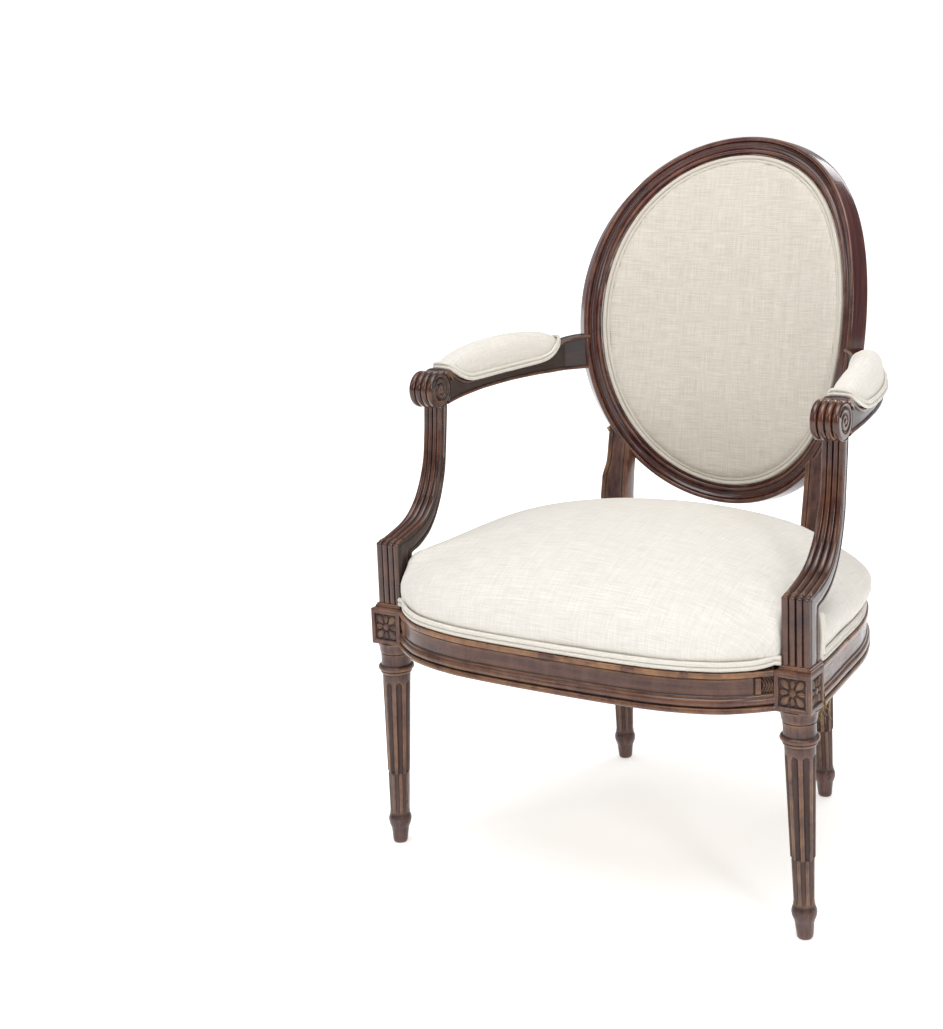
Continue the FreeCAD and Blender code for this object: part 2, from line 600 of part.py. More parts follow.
# tacks that hold the dust cloth
tacks = []
pos = []
for p, n in (sample(fr_pts, 9)[1:-1]):
    pos.append((p[0] - n[0] * 17, p[1] - n[1] * 17))
for p, n in (sample(SIDE_PLAN, 9)[1:-1]):
    pos.append((p[0] - n[0] * 17, p[1] - n[1] * 17))
    pos.append((-(p[0] - n[0] * 17), p[1] - n[1] * 17))
for x in (-90, -30, 30, 90):
    pos.append((x, 148.0))
for x, y in pos:
    shank = cyl((x, y, RAIL_Z0 - 1.7), (0, 0, 1), 0.9, 8.0)
    head = cyl((x, y, RAIL_Z0 - 2.5), (0, 0, 1), 3.0, 0.8)
    tk = head.fuse(shank)
    tacks.append(tk)
tool = Part.makeCompound([cyl((x, y, RAIL_Z0 - 1.7), (0, 0, 1), 0.9, 8.0) for x, y in pos])
under = under.cut(tool)
front_rail = front_rail.cut(tool)
side_rail_l = side_rail.cut(tool)
side_rail_r = mir(side_rail).cut(tool)
back_rail = back_rail.cut(tool)

# ---------------------------------------------------------------- upholstery of the back
NT = 48
TS = [2 * math.pi * i / NT for i in range(NT)]
W0 = FACE_W + WELT_W + 0.9          # edge of the cover, inside the piping


def o_ring(w, n):
    return [oval(t, w, n) for t in TS]


def s_ring(s, n, w0=W0 + 9):
    return [oval_s(t, s, w0, n) for t in TS]


# front cover: a crowned shell open to the webbing, and its stuffing
cov_out = [o_ring(W0, REBATE - 0.3), o_ring(W0, -3.0), o_ring(W0 + 3, -7.5), o_ring(W0 + 9, -11.0), s_ring(0.86, -16.0),
           s_ring(0.66, -20.0), s_ring(0.40, -22.5), s_ring(0.12, -23.5)]
cov_in = [o_ring(W0 + 2.2, REBATE - 0.3), o_ring(W0 + 2.2, -2.4), o_ring(W0 + 4.5, -5.4), o_ring(W0 + 9.6, -8.6),
          s_ring(0.855, -13.6), s_ring(0.655, -17.6), s_ring(0.395, -20.1), s_ring(0.115, -21.1)]


def shell_solid(out_rings, in_rings):
    """shell between two nested stacks that share an open rim"""
    n = len(out_rings[0])
    faces = []

    def tri(a, b, c):
        faces.append(Part.Face(Part.makePolygon([a, b, c, a])))

    def wall(r0, r1):
        for i in range(n):
            j = (i + 1) % n
            tri(r0[i], r0[j], r1[j])
            tri(r0[i], r1[j], r1[i])

    for r0, r1 in zip(out_rings, out_rings[1:]):
        wall(r0, r1)
    for r0, r1 in zip(in_rings, in_rings[1:]):
        wall(r0, r1)
    wall(out_rings[0], in_rings[0])
    for r in (out_rings[-1], in_rings[-1]):
        c = V(0, 0, 0)
        for p in r:
            c = c + p
        c = c * (1.0 / n)
        for i in range(n):
            tri(r[i], r[(i + 1) % n], c)
    sh = Part.makeShell(faces)
    sh.sewShape()
    s = Part.makeSolid(sh.Shells[0] if sh.ShapeType != "Shell" else sh)
    if s.Volume < 0:
        s.reverse()
    return s


back_cover = shell_solid(cov_out, cov_in)
back_stuffing = tri_solid([o_ring(W0 + 2.4, -0.4)] + [o_ring(W0 + 2.4, -2.3), o_ring(W0 + 4.8, -5.2), o_ring(W0 + 9.8, -8.4),
                          s_ring(0.853, -13.4), s_ring(0.653, -17.4), s_ring(0.393, -19.9), s_ring(0.113, -20.9)])
back_hessian = tri_solid([s_ring(0.12, 0.9), s_ring(0.6, 0.9), o_ring(W0 + 3.2, 0.9), o_ring(W0 + 3.2, -0.1), s_ring(0.6, -0.1), s_ring(0.12, -0.1)])


def back_strap(u0, u1, n0, n1):
    """one upright webbing strap that follows the curve of the back"""
    us = [u0 + (u1 - u0) * i / 3 for i in range(4)]
    a, b = BACK_A - W0 - 3.4, BACK_B - W0 - 3.4
    rows = []
    for u in us:
        h = b * math.sqrt(max(0.05, 1 - (u / a) ** 2)) - 1.0
        rows.append((u, h))
    rings = []
    for k in range(5):
        f = -1 + 2 * k / 4.0
        lo = [uvn(u, h * f, n1) for u, h in rows]
        hi = [uvn(u, h * f, n0) for u, h in rows]
        rings.append(lo + hi[::-1])
    return tri_solid(rings)


back_webbing = [back_strap(u - 24, u + 24, 1.1, 2.2) for u in (-112, -56, 0, 56, 112)]

back_welt = tri_solid([o_ring(FACE_W + 0.3, REBATE - 0.4), o_ring(FACE_W + 0.3, -1.2), o_ring(FACE_W + 2.2, -2.6), o_ring(FACE_W + WELT_W - 1.6, -2.6),
                       o_ring(FACE_W + WELT_W + 0.4, -1.2), o_ring(FACE_W + WELT_W + 0.4, REBATE - 0.4)], loop=True)

# outside back: stretched linen panel in the rear rebate with its own piping
NB = FRAME_T - REBATE
out_back = tri_solid([s_ring(0.12, NB + 3.6), s_ring(0.6, NB + 2.9), o_ring(FRAME_W + 2, NB + 2.5), o_ring(W0 + 1, NB + 2.4), o_ring(W0 + 1, NB + 0.5),
                      o_ring(FRAME_W + 2, NB + 0.6), s_ring(0.6, NB + 1.0), s_ring(0.12, NB + 1.6)])
out_back_welt = tri_solid([o_ring(FACE_W + 0.3, NB + 0.4), o_ring(FACE_W + WELT_W + 0.4, NB + 0.4), o_ring(FACE_W + WELT_W + 0.4, NB + 4.2),
                           o_ring(FACE_W + WELT_W - 1.6, NB + 5.4), o_ring(FACE_W + 2.2, NB + 5.4), o_ring(FACE_W + 0.3, NB + 4.2)], loop=True)

# ---------------------------------------------------------------- arm pads
PAD_TOP = [(0.19, 627.5), (0.23, 635.5), (0.30, 641.0), (0.40, 644.5), (0.52, 645.0), (0.66, 643.0), (0.78, 639.0), (0.88, 633.0),
           (0.945, 626.0), (0.97, 619.0)]
PAD_HW = [(0.19, 10.0), (0.215, 15.5), (0.26, 20.0), (0.33, 22.8), (0.55, 23.6), (0.8, 22.6), (0.9, 20.0), (0.95, 16.5), (0.97, 12.0)]


def pad_profile(t, inset=0.0):
    """half-round outline of the pad, from the outer foot over the crown to the inner foot"""
    zb = lin(ARM_TOP, t) + CLEAR
    h = lin(PAD_HW, t) - inset
    dz = max(lin(PAD_TOP, t) - inset - zb, 3.0)
    k = [(h - 0.5, 0), (h, 0.28), (h * 0.97, 0.52), (h * 0.80, 0.80), (h * 0.45, 0.96)]
    return [(e, zb + dz * f) for e, f in k] + [(0, zb + dz)] + [(-e, zb + dz * f) for e, f in k[::-1]]


pad_ts = [0.19, 0.20, 0.215, 0.235, 0.27, 0.31, 0.36, 0.45, 0.54, 0.62, 0.7, 0.78, 0.86, 0.9, 0.93, 0.955, 0.97]
in_ts = [t for t in pad_ts if 0.21 < t < 0.96]
arm_stuffing = Part.makeLoft([arm_wire(t, pad_profile(t, 2.5)) for t in in_ts], True, True)
arch = Part.makeLoft([arm_wire(t, pad_profile(t) + pad_profile(t, 2.5)[::-1]) for t in in_ts], True, True)
end_a = Part.makeLoft([arm_wire(t, pad_profile(t)) for t in pad_ts if t <= in_ts[0]], True, True)
end_b = Part.makeLoft([arm_wire(t, pad_profile(t)) for t in pad_ts if t >= in_ts[-1]], True, True)
arm_cover = arch.fuse([end_a, end_b])

# ---------------------------------------------------------------- names
put("front_rail", front_rail)
put("side_rail_left", side_rail_l)
put("side_rail_right", side_rail_r)
put("back_rail", back_rail)
put("front_leg_left", front_leg)
put("front_leg_right", mir(front_leg))
put("back_leg_left", rear_leg)
put("back_leg_right", mir(rear_leg))
put("arm_support_left", arm_support)
put("arm_support_right", mir(arm_support))
put("armrest_left", arm)
put("armrest_right", mir(arm))

for dwl in frame_dowels:
    crest = crest.cut(dwl)
    side_l = side_l.cut(dwl)
    lower = lower.cut(dwl)
side_r = mir(side_l)
put("back_crest", crest)
put("back_side_left", side_l)
put("back_side_right", side_r)
put("back_lower_rail", lower)

put("corner_blocks", Part.makeCompound(corner_blocks))
put("rail_pegs", Part.makeCompound(pegs + [mir(p) for p in pegs]))
put("back_frame_dowels", Part.makeCompound(frame_dowels + up_dowels + [mir(p) for p in up_dowels]))
ad = [arm_dowel_front] + arm_dowels_rear
put("arm_dowels", Part.makeCompound(ad + [mir(p) for p in ad]))

put("seat_webbing", Part.makeCompound(webbing))
put("seat_hessian", hessian)
put("seat_stuffing", seat_stuffing)
put("seat_cover", seat_cover)
put("seat_welt", seat_welt)
put("under_cloth", under)
put("under_cloth_tacks", Part.makeCompound(tacks))

put("back_webbing", Part.makeCompound(back_webbing))
put("back_hessian", back_hessian)
put("back_stuffing", back_stuffing)
put("back_cover", back_cover)
put("back_welt", back_welt)
put("outside_back_cover", out_back)
put("outside_back_welt", out_back_welt)

put("arm_stuffing_left", arm_stuffing)
put("arm_stuffing_right", mir(arm_stuffing))
put("arm_cover_left", arm_cover)
put("arm_cover_right", mir(arm_cover))

# ---------------------------------------------------------------- write
for name in sorted(PARTS):
    s = PARTS[name].copy()
    s.translate(V(0, Y_SHIFT, 0))
    if len(s.Solids) == 1:
        s = s.Solids[0]
    else:
        s = Part.makeCompound(s.Solids)
    b = s.BoundBox
    print("%-22s solids %2d valid %s vol %9.0f  x %7.1f %7.1f  y %7.1f %7.1f  z %6.1f %6.1f" % (
        name, len(s.Solids), s.isValid(), s.Volume, b.XMin, b.XMax, b.YMin, b.YMax, b.ZMin, b.ZMax))
    s.exportStep("parts/" + name + ".step")
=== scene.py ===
import bpy, bmesh, math
from mathutils import Vector, Matrix, noise


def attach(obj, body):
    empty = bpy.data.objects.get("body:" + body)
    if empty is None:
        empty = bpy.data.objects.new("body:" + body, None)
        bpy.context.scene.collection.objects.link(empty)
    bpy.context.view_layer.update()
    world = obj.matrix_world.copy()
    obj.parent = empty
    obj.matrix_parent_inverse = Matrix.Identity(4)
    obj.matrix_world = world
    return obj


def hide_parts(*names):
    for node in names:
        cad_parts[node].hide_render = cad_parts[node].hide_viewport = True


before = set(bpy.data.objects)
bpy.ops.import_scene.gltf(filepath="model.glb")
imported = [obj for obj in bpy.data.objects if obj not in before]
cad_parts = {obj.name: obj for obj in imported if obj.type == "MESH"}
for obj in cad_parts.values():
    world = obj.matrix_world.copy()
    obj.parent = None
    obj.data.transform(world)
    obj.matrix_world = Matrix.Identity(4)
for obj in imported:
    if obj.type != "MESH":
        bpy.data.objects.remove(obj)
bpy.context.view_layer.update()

MM, YS = 0.001, 3.95
D = math.pi / 180


# ------------------------------------------------------------------ camera
def set_camera():
    cx, cy, cz = 0.99517, -1.92490, 0.96978
    yaw, pitch, roll = -0.5295, -0.1744, -0.0278
    fw = Vector((math.sin(yaw) * math.cos(pitch), math.cos(yaw) * math.cos(pitch), math.sin(pitch)))
    rt = Vector((math.cos(yaw), -math.sin(yaw), 0.0))
    up = rt.cross(fw)
    c, s = math.cos(roll), math.sin(roll)
    rt2, up2 = rt * c + up * s, rt * -s + up * c
    cam = bpy.data.cameras.new("camera")
    cam.sensor_width = 36.0
    cam.lens = 59.629
    cam.shift_x, cam.shift_y = -0.10, -0.12
    cam.clip_start, cam.clip_end = 0.05, 60.0
    cam.dof.use_dof = False
    ob = bpy.data.objects.new("camera", cam)
    bpy.context.scene.collection.objects.link(ob)
    m = Matrix.Identity(4)
    for i in range(3):
        m[i][0], m[i][1], m[i][2] = rt2[i], up2[i], -fw[i]
    m[0][3], m[1][3], m[2][3] = cx, cy, cz
    ob.matrix_world = m
    bpy.context.scene.camera = ob


set_camera()


# ------------------------------------------------------------------ node helpers
class Mat:
    def __init__(self, name):
        self.m = bpy.data.materials.new(name)
        self.m.use_nodes = True
        self.t = self.m.node_tree
        self.t.nodes.clear()
        self.out = self.t.nodes.new("ShaderNodeOutputMaterial")
        self.b = self.t.nodes.new("ShaderNodeBsdfPrincipled")
        self.link(self.b.outputs[0], self.out.inputs[0])

    def link(self, a, b):
        self.t.links.new(a, b)

    def put(self, sock, v):
        if hasattr(v, "is_output") or isinstance(v, bpy.types.NodeSocket):
            self.link(v, sock)
        else:
            sock.default_value = v

    def attr(self, name, fac=False):
        n = self.t.nodes.new("ShaderNodeAttribute")
        n.attribute_name = name
        return n.outputs["Fac"] if fac else n.outputs["Vector"]

    def objco(self):
        return self.t.nodes.new("ShaderNodeTexCoord").outputs["Object"]

    def scale(self, vec, s, off=(0, 0, 0)):
        n = self.t.nodes.new("ShaderNodeMapping")
        n.inputs["Scale"].default_value = s
        n.inputs["Location"].default_value = off
        self.link(vec, n.inputs["Vector"])
        return n.outputs[0]

    def noise(self, vec, scale=1.0, detail=3.0, rough=0.55, dist=0.0):
        n = self.t.nodes.new("ShaderNodeTexNoise")
        n.inputs["Scale"].default_value = scale
        n.inputs["Detail"].default_value = detail
        n.inputs["Roughness"].default_value = rough
        n.inputs["Distortion"].default_value = dist
        self.link(vec, n.inputs["Vector"])
        return n.outputs["Fac"]

    def ramp(self, fac, stops):
        n = self.t.nodes.new("ShaderNodeValToRGB")
        e = n.color_ramp.elements
        e[0].position, e[0].color = stops[0][0], self.rgba(stops[0][1])
        e[1].position, e[1].color = stops[-1][0], self.rgba(stops[-1][1])
        for p, c in stops[1:-1]:
            x = e.new(p)
            x.color = self.rgba(c)
        self.link(fac, n.inputs[0])
        return n.outputs[0]

    @staticmethod
    def rgba(c):
        return (c, c, c, 1.0) if not hasattr(c, "__len__") else (c[0], c[1], c[2], 1.0)

    def mix(self, fac, a, b, mode="MIX"):
        n = self.t.nodes.new("ShaderNodeMix")
        n.data_type = "RGBA"
        n.blend_type = mode
        n.clamp_result = False
        self.put(n.inputs["Factor"], fac)
        ins = [i for i in n.inputs if i.type == "RGBA"]
        for sock, v in zip(ins, (a, b)):
            if isinstance(v, bpy.types.NodeSocket):
                self.link(v, sock)
            else:
                sock.default_value = self.rgba(v)
        return [o for o in n.outputs if o.type == "RGBA"][0]

    def math(self, op, a, b=0.0, c=0.0, clamp=False):
        n = self.t.nodes.new("ShaderNodeMath")
        n.operation = op
        n.use_clamp = clamp
        self.put(n.inputs[0], a)
        self.put(n.inputs[1], b)
        self.put(n.inputs[2], c)
        return n.outputs[0]

    def sep(self, v):
        n = self.t.nodes.new("ShaderNodeSeparateXYZ")
        self.link(v, n.inputs[0])
        return n.outputs

    def bump(self, h, dist, strength=1.0, prev=None):
        n = self.t.nodes.new("ShaderNodeBump")
        n.inputs["Distance"].default_value = dist
        n.inputs["Strength"].default_value = strength
        self.link(h, n.inputs["Height"])
        if prev is not None:
            self.link(prev, n.inputs["Normal"])
        return n.outputs[0]


# hollow_shade is the near-black colour painted into hollows and cuts as shade
def wood(name, dark, mid, light, wear, hollow_shade=(0.012, 0.006, 0.005), rough=(0.26, 0.5), coat=0.25, wear_amt=0.7, spec=0.5, dust=None):
    m = Mat(name)
    g = m.attr("grain")
    streak = m.noise(m.scale(g, (7.0, 190.0, 190.0)), 1.0, 5.0, 0.6, 0.5)
    fine = m.noise(m.scale(g, (26.0, 1500.0, 1500.0)), 1.0, 2.0, 0.6)
    broad = m.noise(m.scale(g, (4.0, 22.0, 22.0), (3, 1, 7)), 1.0, 3.0, 0.6)
    blotch = m.noise(m.scale(m.objco(), (38.0, 38.0, 38.0)), 1.0, 4.0, 0.62)
    col = m.ramp(streak, [(0.28, dark), (0.5, mid), (0.74, light)])
    col = m.mix(m.ramp(broad, [(0.35, 0.0), (0.7, 0.75)]), col, dark)
    col = m.mix(m.ramp(fine, [(0.30, 0.65), (0.46, 0.0)]), col, (dark[0] * 0.35, dark[1] * 0.35, dark[2] * 0.35))
    if dust is not None:
        dn = m.noise(m.scale(m.objco(), (70.0, 70.0, 26.0), (2, 5, 1)), 1.0, 5.0, 0.65)
        col = m.mix(m.ramp(dn, [(0.42, 0.0), (0.72, 0.7)]), col, dust)
    w = m.math("MULTIPLY", m.attr("wear", True), m.ramp(blotch, [(0.36, 0.05), (0.62, 1.0)]))
    w = m.math("MULTIPLY", w, wear_amt, clamp=True)
    col = m.mix(w, col, wear)
    # painted shade: hollows and deep cuts are darkened towards a near-black colour
    col = m.mix(m.math("MULTIPLY", m.attr("hollow_shade", True), 0.85, clamp=True), col, hollow_shade)
    m.link(col, m.b.inputs["Base Color"])
    r = m.ramp(blotch, [(0.3, rough[0]), (0.7, rough[1])])
    r = m.math("ADD", r, m.math("MULTIPLY", m.attr("hollow_shade", True), 0.25), clamp=True)
    m.link(r, m.b.inputs["Roughness"])
    m.b.inputs["Specular IOR Level"].default_value = spec
    m.b.inputs["Coat Weight"].default_value = coat
    m.b.inputs["Coat Roughness"].default_value = 0.12
    n1 = m.bump(fine, 0.00012, 0.5)
    n2 = m.bump(m.noise(m.scale(m.objco(), (210.0, 210.0, 210.0)), 1.0, 3.0, 0.6), 0.00013, 0.5, n1)
    m.link(n2, m.b.inputs["Normal"])
    return m.m


def linen(name, base, shade, pitch=0.00085, contrast=1.0, bump=0.00022, slub=1.0):
    """plain weave: crossed threads with slubs, uneven tone from thread to thread"""
    m = Mat(name)
    v = m.attr("fabric")
    x, y, z = m.sep(v)
    k = 2 * math.pi / pitch
    wob = m.noise(m.scale(v, (90.0, 90.0, 90.0)), 1.0, 2.0)
    xs = m.math("ADD", x, m.math("MULTIPLY", wob, 0.0012))
    ys = m.math("ADD", y, m.math("MULTIPLY", wob, 0.0012))
    sx = m.math("SINE", m.math("MULTIPLY", xs, k))
    sy = m.math("SINE", m.math("MULTIPLY", ys, k))
    sx2 = m.math("SINE", m.math("MULTIPLY", xs, k / 2))
    sy2 = m.math("SINE", m.math("MULTIPLY", ys, k / 2))
    weave = m.math("ADD", m.math("MULTIPLY", m.math("MULTIPLY", sx2, sy2), 0.6), m.math("MULTIPLY", m.math("ADD", sx, sy), 0.25))
    weft = m.noise(m.scale(v, (26.0, 1050.0, 1.0)), 1.0, 2.0, 0.6)
    warp = m.noise(m.scale(v, (1050.0, 26.0, 1.0), (3, 7, 0)), 1.0, 2.0, 0.6)
    weft2 = m.noise(m.scale(v, (24.0, 640.0, 1.0), (1, 2, 0)), 1.0, 3.0, 0.65)
    warp2 = m.noise(m.scale(v, (640.0, 24.0, 1.0), (9, 4, 0)), 1.0, 3.0, 0.65)
    slubs = m.noise(m.scale(v, (70.0, 900.0, 1.0), (5, 5, 0)), 1.0, 1.0, 0.5)
    slubs_v = m.noise(m.scale(v, (900.0, 70.0, 1.0), (15, 25, 0)), 1.0, 1.0, 0.5)
    broad = m.noise(m.scale(v, (9.0, 9.0, 1.0), (4, 1, 0)), 1.0, 3.0, 0.55)
    t = m.math("ADD", m.math("MULTIPLY", weft, 0.30), m.math("MULTIPLY", warp, 0.22))
    t = m.math("ADD", t, m.math("MULTIPLY", weft2, 0.26))
    t = m.math("ADD", t, m.math("MULTIPLY", warp2, 0.22))
    col = m.ramp(t, [(0.40, shade), (0.5, [(a + b) / 2 for a, b in zip(base, shade)]), (0.59, base)])
    flat = [(a * 0.62 + b * 0.38) for a, b in zip(base, shade)]
    col = m.mix(1.0 - min(1.0, contrast), col, flat) if contrast < 1 else col
    col = m.mix(m.math("MULTIPLY", m.ramp(slubs, [(0.62, 0.0), (0.74, 1.0)]), 0.30 * slub), col, [c * 0.80 for c in shade])
    col = m.mix(m.math("MULTIPLY", m.ramp(slubs_v, [(0.64, 0.0), (0.76, 1.0)]), 0.22 * slub), col, [c * 0.84 for c in shade])
    col = m.mix(m.ramp(broad, [(0.3, 0.0), (0.75, 0.16)]), col, shade)
    m.link(col, m.b.inputs["Base Color"])
    m.b.inputs["Roughness"].default_value = 0.86
    m.b.inputs["Specular IOR Level"].default_value = 0.22
    m.b.inputs["Sheen Weight"].default_value = 0.12
    m.b.inputs["Sheen Roughness"].default_value = 0.5
    h = m.math("ADD", m.math("MULTIPLY", weave, 0.5), m.math("ADD", m.math("MULTIPLY", t, 1.6), m.math("MULTIPLY", m.ramp(slubs, [(0.6, 0.0), (0.74, 1.0)]), 0.9)))
    m.link(m.bump(h, bump, 0.75), m.b.inputs["Normal"])
    return m.m


def hessian(name, base, dark, pitch=0.0019):
    m = Mat(name)
    v = m.attr("fabric")
    x, y, z = m.sep(v)
    k = math.pi / pitch
    wob = m.noise(m.scale(v, (60.0, 60.0, 60.0)), 1.0, 2.0)
    sx = m.math("SINE", m.math("MULTIPLY", m.math("ADD", x, m.math("MULTIPLY", wob, 0.002)), k))
    sy = m.math("SINE", m.math("MULTIPLY", m.math("ADD", y, m.math("MULTIPLY", wob, 0.002)), k))
    weave = m.math("MULTIPLY", sx, sy)
    ax, ay = m.math("ABSOLUTE", sx), m.math("ABSOLUTE", sy)
    hole = m.math("MULTIPLY", ax, ay)
    fib = m.noise(m.scale(v, (300.0, 300.0, 300.0)), 1.0, 4.0, 0.7)
    tone = m.noise(m.scale(v, (12.0, 500.0, 1.0)), 1.0, 2.0, 0.6)
    col = m.ramp(m.math("ADD", m.math("MULTIPLY", fib, 0.5), m.math("MULTIPLY", tone, 0.5)), [(0.35, dark), (0.65, base)])
    col = m.mix(m.ramp(hole, [(0.0, 0.75), (0.2, 0.0)]), col, [c * 0.22 for c in dark])
    m.link(col, m.b.inputs["Base Color"])
    m.b.inputs["Roughness"].default_value = 0.95
    m.b.inputs["Sheen Weight"].default_value = 0.1
    m.link(m.bump(m.math("ADD", m.math("MULTIPLY", hole, 1.0), m.math("MULTIPLY", weave, 0.4)), 0.0005, 0.8), m.b.inputs["Normal"])
    return m.m


def raw_wood(name):
    m = Mat(name)
    v = m.objco()
    s = m.noise(m.scale(v, (8.0, 160.0, 160.0)), 1.0, 4.0, 0.6, 0.4)
    f = m.noise(m.scale(v, (60.0, 1400.0, 1400.0)), 1.0, 2.0, 0.6)
    col = m.ramp(s, [(0.3, (0.33, 0.20, 0.105)), (0.55, (0.44, 0.28, 0.155)), (0.75, (0.53, 0.36, 0.21))])
    col = m.mix(m.ramp(f, [(0.3, 0.5), (0.46, 0.0)]), col, (0.20, 0.11, 0.06))
    m.link(col, m.b.inputs["Base Color"])
    m.link(m.ramp(f, [(0.3, 0.75), (0.7, 0.6)]), m.b.inputs["Roughness"])
    m.link(m.bump(f, 0.00015, 0.5), m.b.inputs["Normal"])
    return m.m


def iron(name):
    m = Mat(name)
    v = m.objco()
    a = m.noise(m.scale(v, (500.0, 500.0, 500.0)), 1.0, 4.0, 0.6)
    m.link(m.ramp(a, [(0.35, (0.035, 0.036, 0.042)), (0.6, (0.075, 0.07, 0.07)), (0.8, (0.16, 0.075, 0.04))]), m.b.inputs["Base Color"])
    m.b.inputs["Metallic"].default_value = 0.85
    m.link(m.ramp(a, [(0.3, 0.35), (0.7, 0.65)]), m.b.inputs["Roughness"])
    m.link(m.bump(a, 0.0001, 0.6), m.b.inputs["Normal"])
    return m.m


MAT = {
    "frame": wood("wood_back_frame", (0.023, 0.0054, 0.0054), (0.078, 0.0163, 0.0146), (0.165, 0.043, 0.029), (0.40, 0.18, 0.085), rough=(0.13, 0.22), coat=0.62, wear_amt=0.45, spec=0.36),
    "arm": wood("wood_arms", (0.013, 0.0032, 0.0025), (0.044, 0.0085, 0.0054), (0.120, 0.027, 0.012), (0.36, 0.14, 0.050), rough=(0.13, 0.22), coat=0.62, wear_amt=0.50, spec=0.36),
    "rail": wood("wood_rails", (0.026, 0.0080, 0.0052), (0.088, 0.0245, 0.0115), (0.175, 0.062, 0.028), (0.46, 0.23, 0.095), rough=(0.22, 0.36), coat=0.35, wear_amt=0.8, spec=0.36, dust=(0.13, 0.055, 0.038)),
    "leg": wood("wood_legs", (0.026, 0.0098, 0.0080), (0.086, 0.032, 0.024), (0.165, 0.073, 0.050), (0.42, 0.22, 0.100), rough=(0.26, 0.42), coat=0.25, wear_amt=0.78, spec=0.36, dust=(0.15, 0.080, 0.070)),
    "seat": linen("linen_seat", (0.85, 0.82, 0.765), (0.67, 0.632, 0.57), contrast=1.0, slub=1.0),
    "armpad": linen("linen_arms", (0.85, 0.82, 0.76), (0.67, 0.63, 0.57), slub=0.9),
    "back": linen("linen_back", (0.72, 0.675, 0.60), (0.53, 0.485, 0.415), slub=1.3),
    "outback": linen("linen_outside_back", (0.68, 0.635, 0.56), (0.53, 0.485, 0.415), slub=1.2),
    "pipe": linen("linen_piping", (0.80, 0.765, 0.70), (0.66, 0.62, 0.55), pitch=0.0008, slub=0.6),
    "pipeback": linen("linen_piping_back", (0.69, 0.65, 0.575), (0.54, 0.50, 0.43), pitch=0.0008, slub=0.6),
    "hessian": hessian("hessian_cloth", (0.44, 0.33, 0.19), (0.26, 0.18, 0.10)),
    "thread": hessian("hessian_thread", (0.66, 0.50, 0.24), (0.45, 0.31, 0.13), 0.0006),
    "inner": raw_wood("raw_beech"),
    "iron": iron("blued_iron"),
}


# ------------------------------------------------------------------ mesh helpers
def lin(tab, x):
    if x <= tab[0][0]:
        return tab[0][1]
    for (x0, y0), (x1, y1) in zip(tab, tab[1:]):
        if x <= x1:
            return y0 + (y1 - y0) * (x - x0) / (x1 - x0)
    return tab[-1][1]


def catmull(pts, n, closed=False):
    """n points per span through pts, centripetal-like with chord spacing"""
    P = [Vector(p) for p in pts]
    m = len(P)
    out = []
    for i in range(m if closed else m - 1):
        p1, p2 = P[i], P[(i + 1) % m]
        p0 = P[i - 1] if (i > 0 or closed) else p1 * 2 - p2
        p3 = P[(i + 2) % m] if (i + 2 < m or closed) else p2 * 2 - p1
        d0, d1, d2 = [max((b - a).length, 1e-6) ** 0.5 for a, b in ((p0, p1), (p1, p2), (p2, p3))]
        m1 = ((p1 - p0) / d0 - (p2 - p0) / (d0 + d1) + (p2 - p1) / d1) * d1
        m2 = ((p2 - p1) / d1 - (p3 - p1) / (d1 + d2) + (p3 - p2) / d2) * d1
        for k in range(n):
            t = k / n
            t2, t3 = t * t, t * t * t
            out.append(p1 * (2 * t3 - 3 * t2 + 1) + m1 * (t3 - 2 * t2 + t) + p2 * (-2 * t3 + 3 * t2) + m2 * (t3 - t2))
    if not closed:
        out.append(P[-1].copy())
    return out


def resample(pts, step, closed=False):
    """points a step apart along a polyline"""
    P = [Vector(p) for p in pts]
    if closed:
        P = P + [P[0]]
    L = [0.0]
    for a, b in zip(P, P[1:]):
        L.append(L[-1] + (b - a).length)
    n = max(2, int(round(L[-1] / step)))
    out, k = [], 0
    for i in range(n if closed else n + 1):
        d = L[-1] * i / n
        while k < len(L) - 2 and L[k + 1] < d:
            k += 1
        s = (d - L[k]) / max(L[k + 1] - L[k], 1e-9)
        out.append(P[k].lerp(P[k + 1], min(max(s, 0.0), 1.0)))
    return out


